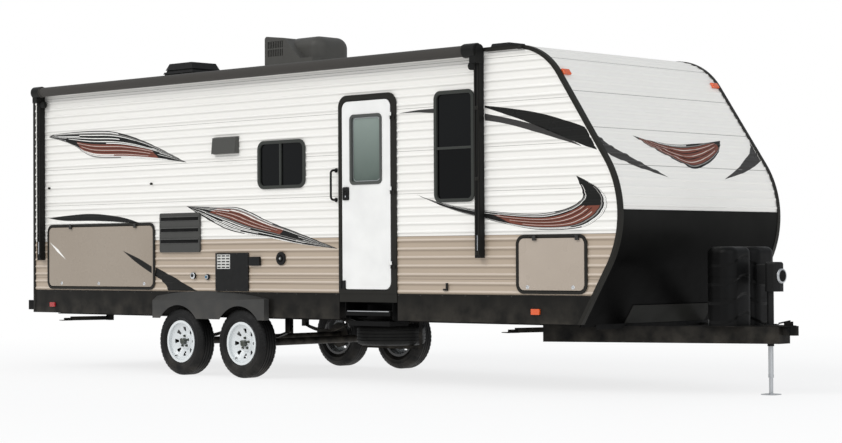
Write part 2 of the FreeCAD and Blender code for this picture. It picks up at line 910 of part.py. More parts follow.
def fender_skirt():
    """Right-hand moulded skirt over both wheels, an open shell with two arches."""
    outer_y = -half_width - fender_out

    def block(inset, foot, y0, y1):
        ends = [fender_outline(inset, foot, y0, False), fender_outline(inset, foot, y1, True)]
        return Part.makeLoft(ends, True, True)

    shell = block(0, fender_bottom, outer_y, -skirt_outer)
    inside = block(fender_shell, fender_bottom - 1, outer_y + fender_shell, -skirt_outer + 1)
    shell = shell.cut(inside)
    for x in axle_xs:
        start, end = Vec(x, outer_y - 1, wheel_radius), Vec(x, -skirt_outer + 1, wheel_radius)
        shell = shell.cut(rod(fender_arch, start, end))
    return max(shell.Solids, key=lambda solid: solid.Volume)


def window_frame(rect, radius, kind):
    """A right-hand window ring with its mullion: a flange on the siding and a spigot in the wall."""
    x0, z0, width, height = rect
    face_y = -half_width - window_proud
    inside_y = -wall_inner + window_reach
    flange = inset_plate(rect, radius, 0, face_y, -half_width)
    spigot = inset_plate(rect, radius, window_lap, -half_width, inside_y)
    hole = inset_plate(rect, radius, window_ring, face_y - 1, inside_y + 1)
    bar_y0, bar_y1 = face_y + mullion_set, -half_width + glass_setback
    end = window_ring - mullion_lap
    half = mullion_width / 2
    if kind == "upright":
        middle = x0 + width * upright_mullion
        bar = box(middle - half, middle + half, bar_y0, bar_y1, z0 + end, z0 + height - end)
    else:
        middle = z0 + height * level_mullion
        bar = box(x0 + end, x0 + width - end, bar_y0, bar_y1, middle - half, middle + half)
    return fused([flange, spigot]).cut(hole).fuse(bar).removeSplitter()


def window_glass(rect, radius):
    y0 = -half_width + glass_setback
    return inset_plate(rect, radius, window_ring, y0, y0 + glass_thickness)


def door_frame():
    """Fixed frame: a flange on the siding, a jamb through the wall and a threshold apron."""
    x0 = door_x - frame_rear_margin
    width = frame_rear_margin + door_width + frame_front_margin
    z0 = door_bottom - frame_bottom_margin
    height = frame_bottom_margin + door_height + frame_top_margin
    face_y = -half_width - frame_proud
    flange = rounded_plate(x0, z0, width, height, frame_corner, face_y, -half_width)
    flange = flange.fuse(box(x0, x0 + width, face_y, -half_width, z0, z0 + frame_corner + 1))
    jx, jz, jw, jh = jamb_rect
    jamb = rounded_plate(jx + 1, jz, jw - 2, jh - 1, jamb_corner - 1, -half_width, -wall_inner)
    jamb = jamb.fuse(box(jx + 1, jx + jw - 1, -half_width, -wall_inner, jz, jz + jamb_corner + 1))
    through = rounded_plate(
        door_x - door_gap,
        door_bottom - door_gap,
        door_width + 2 * door_gap,
        door_height + 2 * door_gap,
        door_corner + door_gap,
        face_y - 1,
        -wall_inner + 1,
    )
    edge = trim_sheet
    apron = box(x0 + edge, x0 + width - edge, -half_width - edge, -skirt_inner, floor_bottom, z0)
    hinges = [hinge_part(z, "frame") for z in hinge_heights()]
    return fused([fused([flange, jamb]).cut(through), apron] + hinges)


def hinge_heights():
    span = door_height - 2 * hinge_end
    return [door_bottom + hinge_end + k * span / (hinge_count - 1) for k in range(hinge_count)]


hinge_x = door_x + door_width + door_axis_gap
hinge_y = -half_width - frame_proud - hinge_lift - hinge_radius


def hinge_part(z, side):
    """A knuckle at the door's axis with its flat leaf, on the frame or on the door."""
    foot, top = Vec(hinge_x, hinge_y, z), Vec(hinge_x, hinge_y, z + hinge_knuckle)
    barrel = rod(hinge_radius, foot, top)
    leaf_y0 = hinge_y + hinge_radius - hinge_leaf
    leaf_y1 = hinge_y + hinge_radius
    if side == "frame":
        far_x = hinge_x + hinge_leaf_length
        leaf = box(hinge_x, far_x, leaf_y0, -half_width - frame_proud, z, z + hinge_knuckle)
        pin_end = top + Vec(0, 0, knuckle_gap + hinge_knuckle - hinge_pin_short)
        pin = rod(hinge_pin, foot + Vec(0, 0, hinge_pin), pin_end)
        return fused([barrel, leaf, pin])
    x0 = hinge_x - hinge_leaf_length
    leaf = box(x0, hinge_x, leaf_y0, leaf_y1, z, z + hinge_knuckle)
    edge_x = door_x + door_width - knuckle_gap
    seat = box(x0, edge_x, leaf_y1, -half_width - door_proud, z, z + hinge_knuckle)
    bore_end = top - Vec(0, 0, hinge_bore_floor)
    bore = rod(hinge_pin + running_clearance, foot - Vec(0, 0, 1), bore_end)
    return fused([barrel, leaf, seat]).cut(bore)


def door_window_rect():
    margin, drop, width, height, radius = door_window
    foot = door_bottom + door_height - drop - height
    return (door_x + margin, foot, width, height), radius


def entry_door():
    """The door leaf with its window hole and the upper hinge knuckles."""
    back = door_face + door_thickness
    leaf = rounded_plate(door_x, door_bottom, door_width, door_height, door_corner, door_face, back)
    rect, radius = door_window_rect()
    hole = inset_plate(rect, radius, window_lap - 1, door_face - 1, back + 1)
    knuckles = [hinge_part(z + hinge_knuckle + knuckle_gap, "door") for z in hinge_heights()]
    return fused([leaf.cut(hole)] + knuckles)


def door_window_frame():
    back = door_face + door_thickness
    rect, radius = door_window_rect()
    outer = inset_plate(rect, radius, 0, door_face - door_window_proud, door_face)
    spigot = inset_plate(rect, radius, window_lap, door_face, back)
    inner = inset_plate(rect, radius, door_window_ring, door_face - door_window_proud - 1, back + 1)
    return fused([outer, spigot]).cut(inner)


def door_glass():
    y0 = door_face + door_glass_depth
    rect, radius = door_window_rect()
    return inset_plate(rect, radius, door_window_ring, y0, y0 + glass_thickness)


def door_latch():
    """Lock plate with a recessed pull, near the door's rear edge."""
    margin, rise, width, height, corner = latch_plate
    pull_width, pull_height, pull_corner = latch_pull
    paddle_width, paddle_height, paddle_corner = latch_paddle
    x, z = door_x + margin, door_bottom + rise
    front = door_face - latch_proud
    plate = rounded_plate(x, z, width, height, corner, front, door_face)
    cup_x, cup_z = x + (width - pull_width) / 2, z + (height - pull_height) / 2
    floor = door_face - latch_floor
    cup = rounded_plate(cup_x, cup_z, pull_width, pull_height, pull_corner, front - 1, floor)
    paddle_x, paddle_z = x + (width - paddle_width) / 2, cup_z + latch_paddle_set
    paddle = rounded_plate(
        paddle_x, paddle_z, paddle_width, paddle_height, paddle_corner, front + 1, floor + 1
    )
    return plate.cut(cup).fuse(paddle).removeSplitter()


def hatch_frame(rect):
    """Fixed ring round a storage hatch, with the frame's half of each hinge."""
    flange = inset_plate(rect, hatch_corner, 0, -half_width - hatch_proud, -half_width)
    spigot = inset_plate(rect, hatch_corner, hatch_lap, -half_width, -wall_inner)
    hole = inset_plate(rect, hatch_corner, hatch_ring, -half_width - hatch_proud - 1, -wall_inner + 1)
    ring = fused([flange, spigot]).cut(hole)
    return fused([ring] + [hatch_knuckle(rect, k, "frame") for k in (0, 1)])


def hatch_axis(rect):
    x0, z0, width, height = rect
    return -half_width - hatch_proud - hatch_axis_out, z0 + height - hatch_ring + hatch_axis_rise


def hatch_knuckle(rect, which, side):
    """One knuckle of a hatch hinge; frame and door knuckles stand side by side on the axis."""
    x0, z0, width, height = rect
    y, z = hatch_axis(rect)
    x = x0 + hatch_hinge_places[which] * width
    shift = hatch_knuckle_length + knuckle_gap
    if side == "frame":
        x1 = x + hatch_knuckle_length
        half = hatch_strap / 2
        strap = box(x, x1, y, -half_width - hatch_proud, z - half, z + half)
        barrel = rod(hatch_hinge_radius, Vec(x, y, z), Vec(x1, y, z))
        pin = rod(hatch_pin, Vec(x + hatch_pin, y, z), Vec(x1 + shift - hatch_pin_short, y, z))
        return fused([barrel, strap, pin])
    x += shift
    x1 = x + hatch_knuckle_length
    foot_bottom = z - hatch_axis_rise - hatch_gap - hatch_foot_drop
    barrel = rod(hatch_hinge_radius, Vec(x, y, z), Vec(x1, y, z))
    arm_y = y - hatch_arm_set
    strap = box(x, x1, arm_y, arm_y + hatch_arm, foot_bottom, z)
    foot = box(x, x1, y, hatch_face, foot_bottom, foot_bottom + hatch_foot_height)
    bore_end = Vec(x1 - hatch_bore_floor, y, z)
    bore = rod(hatch_pin + running_clearance, Vec(x - 1, y, z), bore_end)
    return fused([barrel, strap, foot]).cut(bore)


def hatch_leaf(rect):
    inset = hatch_ring + hatch_gap
    leaf = inset_plate(rect, hatch_corner, inset, hatch_face, hatch_face + hatch_thickness)
    return fused([leaf] + [hatch_knuckle(rect, k, "door") for k in (0, 1)])


def hatch_catches():
    """Round bumpers on the wall that hold the rear hatch when it is swung up."""
    beads_up, diameter, reach, rear_margin, front_margin = hatch_catch
    z = colour_line + beads_up * bead_pitch
    u, sill, width, height = rear_hatch
    catches = []
    for x in (from_rear(u) + rear_margin, from_rear(u) + width - front_margin):
        catches.append(rod(diameter / 2, Vec(x, -half_width - reach, z), Vec(x, -half_width, z)))
    return catches


def vent_panel_part():
    """Refrigerator vent: a flat panel with deep louvre slots."""
    u, z, w, h, r = vent_panel
    x = from_rear(u)
    panel = rounded_plate(x, z, w, h, r, -half_width - vent_panel_proud, -half_width)
    share, slot_height, depth, lean = louvre_slot
    pitch = h / (louvre_count - 1 + 2 * louvre_margin)
    x0 = x + w * (1 - share) / 2
    y = -half_width - vent_panel_proud
    for k in range(louvre_count):
        slot_z = z + pitch * (k + louvre_margin)
        section = [
            Vec(x0, y - 1, slot_z),
            Vec(x0, y + depth, slot_z + slot_height * lean),
            Vec(x0, y + depth, slot_z + slot_height),
            Vec(x0, y - 1, slot_z + slot_height),
        ]
        panel = panel.cut(prism(section, Vec(w * share, 0, 0)))
    return panel


def hood_vent_part():
    """Leaning hood over the cooker's outlet."""
    u, z, w, h = hood_vent
    x, y = from_rear(u), -half_width
    t = hood_taper
    lip_y, back_y = y - hood_proud, y - hood_proud + hood_lean
    back = [Vec(x, y, z), Vec(x + w, y, z), Vec(x + w, y, z + h), Vec(x, y, z + h)]
    front = [
        Vec(x + t, lip_y, z + hood_lip),
        Vec(x + w - t, lip_y, z + hood_lip),
        Vec(x + w - t, back_y, z + h - t),
        Vec(x + t, back_y, z + h - t),
    ]
    ends = [Part.makePolygon(back + back[:1]), Part.makePolygon(front + front[:1])]
    return Part.makeLoft(ends, True, True)


def proud_plate(spec, proud):
    u, z, w, h, r = spec
    return rounded_plate(from_rear(u), z, w, h, r, -half_width - proud, -half_width)


def cross_rod(radius, x, z, y0, y1):
    return rod(radius, Vec(x, y0, z), Vec(x, y1, z))


def round_port_part():
    u, z, outer, inner = round_port
    cap_radius, cap_proud = round_port_cap
    x, face_y = from_rear(u), -half_width - round_port_proud
    ring = cross_rod(outer, x, z, face_y, -half_width)
    well = cross_rod(inner, x, z, face_y - 1, -half_width - round_port_floor)
    cap = cross_rod(cap_radius, x, z, -half_width - cap_proud, -half_width)
    return ring.cut(well).fuse(cap).removeSplitter()


def small_cap(spec, proud):
    u, z, radius = spec
    face_y = -half_width - proud
    cap = cross_rod(radius, from_rear(u), z, face_y, -half_width)
    edge = [e for e in cap.Edges if e.BoundBox.YMax < face_y + 1]
    return cap.makeFillet(lock_rounding, edge)


def door_holder_part():
    """The angle that catches the entry door when it is swung fully open."""
    reach, z, length, height, thickness = door_holder
    x0, x1 = hinge_x + reach, hinge_x + reach + length
    y0, y1 = -half_width - thickness, -half_width
    foot = box(x0, x1, y0, y1, z - height / 2, z - height / 2 + thickness)
    post = box(x1 - thickness, x1, y0, y1, z - height / 2, z + height / 2)
    return foot.fuse(post)


def grab_rail():
    """Bent tube beside the door, with a pad at each end."""
    x = door_x - grab_rail_from_door
    z0, z1 = grab_rail_bottom, grab_rail_bottom + grab_rail_height
    wall, out = -half_width, -half_width - grab_rail_reach
    bend = grab_rail_bend
    cut = bend * (1 - math.sqrt(0.5))
    path = Part.Wire(
        [
            line(Vec(x, wall, z0), Vec(x, out + bend, z0)),
            arc(Vec(x, out + bend, z0), Vec(x, out + cut, z0 + cut), Vec(x, out, z0 + bend)),
            line(Vec(x, out, z0 + bend), Vec(x, out, z1 - bend)),
            arc(Vec(x, out, z1 - bend), Vec(x, out + cut, z1 - cut), Vec(x, out + bend, z1)),
            line(Vec(x, out + bend, z1), Vec(x, wall, z1)),
        ]
    )
    section = Part.Wire([Part.makeCircle(grab_rail_radius, Vec(x, wall, z0), Vec(0, -1, 0))])
    tube = path.makePipeShell([section], True, True)
    pad_radius, pad_thickness = grab_rail_pad
    pads = [cross_rod(pad_radius, x, z, wall - pad_thickness, wall) for z in (z0, z1)]
    return fused([Part.Solid(tube) if tube.ShapeType != "Solid" else tube] + pads)


def main_rails():
    """I-section rail under the floor, drawn on the right."""
    x0 = rear_x + rail_rear_gap
    half, web, flange = rail_flange / 2, rail_web / 2, rail_flange_thickness
    y = -rail_offset
    points = [
        (y - half, rail_bottom),
        (y + half, rail_bottom),
        (y + half, rail_bottom + flange),
        (y + web, rail_bottom + flange),
        (y + web, floor_bottom - flange),
        (y + half, floor_bottom - flange),
        (y + half, floor_bottom),
        (y - half, floor_bottom),
        (y - half, floor_bottom - flange),
        (y - web, floor_bottom - flange),
        (y - web, rail_bottom + flange),
        (y - half, rail_bottom + flange),
    ]
    length = front_x - rail_front_gap - x0
    rail = prism([Vec(x0, py, pz) for py, pz in points], Vec(length, 0, 0))
    return both_sides([rail])


def cross_members():
    """Channels between the rails, open forwards."""
    inner = rail_offset - rail_web / 2
    top = floor_bottom - rail_flange_thickness
    foot = top - cross_height
    xs = [from_rear(u) for u in cross_from_rear] + [from_front(u) for u in cross_from_front]
    members = []
    for x in xs:
        x1 = x + cross_width
        beam = box(x, x1, -inner, inner, foot, top)
        hollow = box(x + cross_web, x1 + 1, -inner, inner, foot + cross_flange, top - cross_flange)
        members.append(beam.cut(hollow))
    return members


def outriggers():
    """Tapered brackets from the rails out to the skirts."""
    inner = -rail_offset - rail_web / 2
    outer = -skirt_inner + outrigger_gap
    top = floor_bottom - rail_flange_thickness
    xs = [from_rear(u) for u in outriggers_from_rear]
    xs += [from_front(u) for u in outriggers_from_front]
    shapes = []
    for x in xs:
        points = [
            Vec(x, inner, top),
            Vec(x, outer, top),
            Vec(x, outer, top - outrigger_tip),
            Vec(x, inner, top - cross_height - outrigger_tip),
        ]
        shapes.append(prism(points, Vec(outrigger_width, 0, 0)))
    return both_sides(shapes)


drawbar_top = rail_bottom
drawbar_bottom = drawbar_top - drawbar_height
drawbar_lap_x = from_front(drawbar_lap_from_front)
coupler_back_x = tip_x - coupler_back_from_tip
drawbar_end_x = coupler_back_x + drawbar_past_coupler
socket_x = tip_x - ball_radius - socket_wall
jack_x = tip_x - jack_from_tip


def drawbar_beam():
    """Right-hand channel of the A-frame, from under the rail to the coupler, open inwards."""
    start = (drawbar_lap_x, -rail_offset)
    end = (drawbar_end_x, -drawbar_front_half)
    length = math.dist(start, end)
    along = ((end[0] - start[0]) / length, (end[1] - start[1]) / length)
    out = (along[1], -along[0])
    half, wall = drawbar_width / 2, drawbar_wall

    def corner(point, across, lift):
        return Vec(point[0] + out[0] * across, point[1] + out[1] * across, drawbar_bottom + lift)

    def bar(outer, inner, lift, height):
        ends = [(start, outer), (end, outer), (end, inner), (start, inner)]
        return prism([corner(point, across, lift) for point, across in ends], Vec(0, 0, height))

    beam = bar(half, -half, 0, drawbar_height)
    trough = bar(half - wall, -half - 1, wall, drawbar_height - 2 * wall)
    beyond_centre = box(rear_x, tip_x, 0, half_width, drawbar_bottom - 1, drawbar_top + 1)
    return beam.cut(trough).cut(beyond_centre)


def drawbar_inside():
    """The triangle between the two channels' centre lines."""
    points = [
        Vec(drawbar_lap_x, -rail_offset, drawbar_bottom),
        Vec(drawbar_end_x, -drawbar_front_half, drawbar_bottom),
        Vec(drawbar_end_x, drawbar_front_half, drawbar_bottom),
        Vec(drawbar_lap_x, rail_offset, drawbar_bottom),
    ]
    return prism(points, Vec(0, 0, drawbar_height))


def jack_hole():
    radius = jack_tube_radius + jack_hole_gap
    return rod(radius, Vec(jack_x, 0, drawbar_bottom - 1), Vec(jack_x, 0, roof_height))


def drawbar():
    """Both channels joined by a head block and the tray that carries the gas cover."""
    right = drawbar_beam()
    half = head_plate_half
    plate_x0 = jack_x - head_plate_behind_jack
    plate_x1 = drawbar_end_x + head_plate_front
    plate = box(plate_x0, plate_x1, -half, half, drawbar_top - drawbar_wall, drawbar_top)
    head = box(drawbar_end_x, plate_x1, -half, half, drawbar_bottom, drawbar_top)
    tray_x0 = front_x + gas_cover_from_nose - tray_margin
    tray_x1 = tray_x0 + gas_cover_depth + 2 * tray_margin
    tray_half = gas_cover_width / 2 - tray_margin
    tray_top = drawbar_top + tray_thickness
    tray = box(tray_x0, tray_x1, -tray_half, tray_half, drawbar_top, tray_top)
    cross_x1 = tray_x0 - tray_margin
    cross_foot = drawbar_top - tray_cross_height
    cross = box(cross_x1 - tray_cross, cross_x1, -tray_half, tray_half, cross_foot, drawbar_top)
    cross = cross.common(drawbar_inside())
    return fused([right, mirrored(right), plate, head, tray, cross]).cut(jack_hole())


def coupler():
    """A-frame coupler: a folded plate that narrows to the ball socket, with its latch."""
    z0 = drawbar_top
    z1 = z0 + coupler_plate
    nose_half = ball_radius + socket_wall
    plate_points = [
        Vec(coupler_back_x, -coupler_back_half, z0),
        Vec(socket_x, -nose_half, z0),
        Vec(socket_x, nose_half, z0),
        Vec(coupler_back_x, coupler_back_half, z0),
    ]
    plate = prism(plate_points, Vec(0, 0, coupler_plate))
    foot = Vec(socket_x, 0, coupler_nose_height - ball_depth / 2 - socket_lip)
    ball_top = foot + Vec(0, 0, ball_depth)
    body = rod(nose_half, foot, ball_top + Vec(0, 0, ball_radius + socket_top))
    neck_half = nose_half - coupler_neck_set
    neck_x0 = drawbar_end_x + head_plate_front
    neck = box(neck_x0, socket_x, -neck_half, neck_half, foot.z + coupler_neck_set, z1)
    bore = rod(ball_radius, foot - Vec(0, 0, 1), ball_top)
    dome = Part.makeSphere(ball_radius, ball_top)
    block_length, block_width, block_height, block_back = latch_block
    block_x1 = socket_x - block_back
    block_half = block_width / 2
    block = box(block_x1 - block_length, block_x1, -block_half, block_half, z1, z1 + block_height)
    length, width, thickness = latch_lever
    lever_x = socket_x - latch_lever_back
    lever = prism(
        [
            Vec(lever_x - length, -width / 2, z1 + thickness),
            Vec(lever_x, -width / 2, z1 + block_height),
            Vec(lever_x, -width / 2, z1 + block_height + thickness),
            Vec(lever_x - length, -width / 2, z1 + 2 * thickness),
        ],
        Vec(0, width, 0),
    )
    return fused([plate, body, neck, block, lever]).cut(bore).cut(dome).cut(jack_hole())


def upright_edges(shape):
    return [e for e in shape.Edges if abs(e.tangentAt(e.FirstParameter).z) > 0.9]


def jack_block(spec):
    """One block of the power head, rounded at its corners and over its top."""
    length, width, foot, top, corner, edge, shift = spec
    x = jack_x + shift
    block = box(x - length / 2, x + length / 2, -width / 2, width / 2, foot, top)
    block = block.makeFillet(corner, upright_edges(block))
    upper = [e for e in block.Edges if e.BoundBox.ZMin > top - 1]
    return block.makeFillet(edge, upper)


def tongue_jack():
    """Outer tube with flange and the power head; the leg slides inside the tube."""
    bottom, top = Vec(jack_x, 0, jack_tube_bottom), Vec(jack_x, 0, jack_tube_top)
    tube = rod(jack_tube_radius, bottom, top)
    bore_top = top - Vec(0, 0, jack_tube_cap)
    bore = rod(jack_leg_radius + running_clearance, bottom - Vec(0, 0, 1), bore_top)
    flange_radius, flange_thickness = jack_flange
    seat = Vec(jack_x, 0, drawbar_top + coupler_plate)
    flange = rod(flange_radius, seat, seat + Vec(0, 0, flange_thickness))
    return fused([tube, flange, jack_block(jack_head), jack_block(jack_motor)]).cut(bore)


def jack_leg():
    """Sliding inner tube with drop leg and foot plate."""
    top = jack_tube_top - jack_tube_cap - jack_travel - jack_leg_reserve
    drop_top = Vec(jack_x, 0, jack_drop_top)
    collar_extra, collar_height = jack_collar
    pin_radius, pin_half, pin_drop = jack_pin
    pin_z = jack_drop_top - pin_drop
    inner = rod(jack_leg_radius, drop_top, Vec(jack_x, 0, top))
    drop = rod(jack_drop_radius, Vec(jack_x, 0, jack_foot_thickness), drop_top)
    pin = cross_rod(pin_radius, jack_x, pin_z, -pin_half, pin_half)
    collar = rod(jack_leg_radius + collar_extra, drop_top - Vec(0, 0, collar_height), drop_top)
    half = jack_foot_half
    foot = box(jack_x - half, jack_x + half, -half, half, 0, jack_foot_thickness)
    foot = foot.makeFillet(jack_foot_corner, upright_edges(foot))
    return fused([inner, drop, pin, collar, foot])


def gas_barrels(inset, foot):
    """Two rounded barrels side by side, with a valley where they meet."""
    x0 = front_x + gas_cover_from_nose + inset
    x1 = x0 + gas_cover_depth - 2 * inset
    outer_y = gas_cover_width / 2 - inset
    inner_y = gas_cover_valley / 2 - inset
    top = drawbar_top + tray_thickness + gas_cover_height - inset
    barrel = box(x0, x1, -outer_y, inner_y, foot, top)
    barrel = barrel.makeFillet(gas_cover_corner - inset, upright_edges(barrel))
    upper = [e for e in barrel.Edges if e.BoundBox.ZMin > top - 1]
    barrel = barrel.makeFillet(gas_cover_edge - inset, upper)
    return fused([barrel, mirrored(barrel)])


def gas_cover():
    """Open-bottomed moulded cover over two gas bottles, with grooves round it."""
    foot = drawbar_top + tray_thickness
    shell = gas_barrels(0, foot).cut(gas_barrels(gas_cover_wall, foot - 1))
    width, depth = gas_cover_groove
    core = gas_barrels(depth, foot - 1)
    for height in gas_cover_grooves:
        z = foot + height
        band = box(front_x, tip_x, -half_width, half_width, z, z + width)
        shell = shell.cut(band.cut(core))
    return shell


def rear_bumper():
    """Square tube across the back on two arms welded to the rails."""
    x0 = rear_x - body_to_bumper
    x1 = x0 + bumper_size
    z0, z1 = bumper_bottom, bumper_bottom + bumper_size
    half = bumper_half_width
    length, lip = bumper_cap
    tube = box(x0, x1, -half, half, z0, z1)
    caps = both_sides([box(x0, x1, -half - length, -half, z0 - lip, z1 + lip)])
    arm_y0, arm_y1 = -rail_offset - bumper_arm / 2, -rail_offset + bumper_arm / 2
    arm_z0, arm_z1 = z0 + bumper_arm_set, z1 - bumper_arm_set
    arm = box(x1, rear_x + rail_rear_gap, arm_y0, arm_y1, arm_z0, arm_z1)
    return fused([tube, arm, mirrored(arm)] + caps)


def tyre_ring():
    """A tyre of revolution about the Y axis: round sidewalls, straight shoulders and crown."""
    half = tyre_width / 2
    seat = rim_width / 2 - rim_lip_thickness
    run_in, side_inset, shoulder_drop = tyre_shoulder
    widest_radius = rim_lip_radius + tyre_bead_rise

    def side(sign):
        def at(inset, radius):
            return Vec(0, sign * (half - inset), radius)

        def bulge(inset, radius):
            """An arc from the widest line, square to it there, to the point given."""
            rise = radius - widest_radius
            r = (inset**2 + rise**2) / (2 * inset)
            turn = math.atan2(rise, r - inset) / 2
            middle = at(r - r * math.cos(turn), widest_radius + r * math.sin(turn))
            return arc(at(0, widest_radius), middle, at(inset, radius))

        bead_inset = half - seat
        shoulder_radius = wheel_radius - shoulder_drop
        crown = at(run_in, wheel_radius - tyre_crown_drop)
        return [
            line(at(bead_inset, rim_barrel_radius), at(bead_inset, rim_lip_radius)),
            bulge(bead_inset, rim_lip_radius),
            bulge(side_inset, shoulder_radius),
            line(at(side_inset, shoulder_radius), crown),
            line(crown, at(tyre_tread_inset, wheel_radius)),
        ]

    flat = half - tyre_tread_inset
    tread = line(Vec(0, -flat, wheel_radius), Vec(0, flat, wheel_radius))
    foot = line(Vec(0, -seat, rim_barrel_radius), Vec(0, seat, rim_barrel_radius))
    profile = Part.Wire(Part.__sortEdges__(side(-1) + side(1) + [tread, foot]))
    return Part.Face(profile).revolve(Vec(0, 0, 0), Vec(0, 1, 0), 360)


def tyre(x, side):
    ring = tyre_ring()
    ring.translate(Vec(x, side * wheel_centre_y, wheel_radius))
    return ring


def revolved(points):
    """A solid of revolution about the Y axis from (y, radius) points."""
    face = Part.Face(Part.makePolygon([Vec(0, y, r) for y, r in points + points[:1]]))
    return face.revolve(Vec(0, 0, 0), Vec(0, 1, 0), 360)


def spoke_window(turn):
    """The hole between two spokes, a wedge with rounded corners."""
    y = -rim_width / 2
    points = [
        Vec(-window_inner_half, y, window_inner_radius),
        Vec(-window_outer_half, y, window_outer_radius),
        Vec(window_outer_half, y, window_outer_radius),
        Vec(window_inner_half, y, window_inner_radius),
    ]
    hole = prism(points, Vec(0, rim_width, 0))
    corners = [e for e in hole.Edges if abs(e.tangentAt(e.FirstParameter).y) > 0.9]
    hole = hole.makeFillet(window_rounding, corners)
    hole.rotate(Vec(0, 0, 0), Vec(0, 1, 0), turn)
    return hole


disc_face_y = -rim_width / 2 + disc_dish


def wheel_disc(bore_radius):
    """Barrel with lips and the dished disc with spoke windows, outer face towards -Y."""
    half, lip = rim_width / 2, rim_lip_thickness
    inner = rim_barrel_radius - rim_wall
    barrel = revolved(
        [
            (-half, inner),
            (-half, rim_lip_radius),
            (-half + lip, rim_lip_radius),
            (-half + lip, rim_barrel_radius),
            (half - lip, rim_barrel_radius),
            (half - lip, rim_lip_radius),
            (half, rim_lip_radius),
            (half, inner),
        ]
    )
    y, t = disc_face_y, disc_thickness
    ridge_radius = hub_flange_radius + disc_ridge_run
    disc = revolved(
        [
            (y - disc_cone, inner),
            (y - disc_cone + t, inner),
            (y + disc_ridge + t, ridge_radius),
            (y + t, hub_flange_radius),
            (y + t, bore_radius),
            (y, bore_radius),
            (y, hub_flange_radius),
            (y + disc_ridge, ridge_radius),
        ]
    )
    for k in range(spoke_windows):
        disc = disc.cut(spoke_window(360 * k / spoke_windows))
    return barrel.fuse(disc)


def rim(x, side):
    """Steel wheel with its hub and brake drum."""
    bore_radius = spindle_radius + running_clearance
    cap_y = disc_face_y - hub_reach
    drum_y = disc_face_y + disc_thickness + drum_gap
    drum = cross_rod(drum_radius, 0, 0, drum_y, drum_y + drum_width)
    hub = cross_rod(hub_radius, 0, 0, cap_y, drum_y + hub_lap)
    dust_cap = [e for e in hub.Edges if e.BoundBox.YMax < cap_y + 1]
    hub = hub.makeFillet(hub_rounding, dust_cap)
    bore = cross_rod(bore_radius, 0, 0, cap_y + hub_wall, drum_y + drum_width + 1)
    wheel = fused([wheel_disc(bore_radius), drum, hub]).cut(bore)
    if side > 0:
        wheel = mirrored(wheel)
    wheel.translate(Vec(x, side * wheel_centre_y, wheel_radius))
    return wheel


def laid_flat(wheel):
    """Turns a wheel to lie face down at the spare wheel's place."""
    wheel.rotate(Vec(0, 0, 0), Vec(1, 0, 0), 90)
    wheel.translate(Vec(from_rear(spare_from_rear), 0, spare_bottom + tyre_width / 2))
    return wheel


def spare_carrier():
    """Bar under the spare wheel, hung by a plate from the cross member at each side of it."""
    middle = from_rear(spare_from_rear)
    members = [from_rear(u) for u in cross_from_rear]
    x0 = max(x for x in members if x < middle)
    x1 = min(x for x in members if x > middle) + spare_hanger
    half = spare_bar_width / 2
    top = spare_bottom - spare_seat_gap
    foot = top - spare_bar_height
    hung_from = floor_bottom - rail_flange_thickness - cross_height
    bar = box(x0, x1, -half, half, foot, top)
    rear = box(x0, x0 + spare_hanger, -half, half, foot, hung_from)
    front = box(x1 - spare_hanger, x1, -half, half, foot, hung_from)
    return fused([bar, rear, front])


drum_back_y = wheel_centre_y - disc_face_y - disc_thickness - drum_gap - drum_width


def axle(x):
    """Axle tube with spindles and brake backing plates."""
    plate_out = drum_back_y - backing_gap
    plate_in = plate_out - backing_thickness
    spindle_end = wheel_centre_y - disc_face_y + hub_reach - hub_wall - spindle_end_gap
    tube = cross_rod(axle_radius, x, wheel_radius, -plate_in, plate_in)
    spindle = cross_rod(spindle_radius, x, wheel_radius, -spindle_end, spindle_end)
    plate = cross_rod(backing_radius, x, wheel_radius, -plate_out, -plate_in)
    return fused([tube, spindle, plate, mirrored(plate)])


def leaf_spring(x):
    """Leaf pack on top of the axle, thick at the seat, with an eye at each end."""
    seat = wheel_radius + axle_radius
    y0, y1 = -rail_offset - spring_width / 2, -rail_offset + spring_width / 2
    rear, front = x - spring_half_span, x + spring_half_span
    low = spring_eye_height - spring_end_thickness / 2
    high = spring_eye_height + spring_end_thickness / 2
    top = Vec(x, y0, seat + spring_seat_thickness)
    edges = [
        arc(Vec(rear, y0, low), Vec(x, y0, seat), Vec(front, y0, low)),
        line(Vec(front, y0, low), Vec(front, y0, high)),
        arc(Vec(front, y0, high), top, Vec(rear, y0, high)),
        line(Vec(rear, y0, high), Vec(rear, y0, low)),
    ]
    pack = Part.Face(Part.Wire(edges)).extrude(Vec(0, spring_width, 0))
    eyes = [cross_rod(spring_eye_radius, eye, spring_eye_height, y0, y1) for eye in (rear, front)]
    return fused([pack] + eyes)


def hanger(x):
    """Plates that hang a spring eye under the rail."""
    x0, x1 = x - hanger_width / 2, x + hanger_width / 2
    inner = spring_width / 2 + spring_side_gap
    outer = inner + hanger_plate
    y = -rail_offset
    foot = spring_eye_height - spring_eye_radius - hanger_drop
    near = box(x0, x1, y - outer, y - inner, foot, rail_bottom)
    far = box(x0, x1, y + inner, y + outer, foot, rail_bottom)
    top = box(x0, x1, y - outer, y + outer, rail_bottom - hanger_plate, rail_bottom)
    pin = cross_rod(hanger_pin, x, spring_eye_height, y - outer, y + outer)
    return fused([near, far, top, pin])


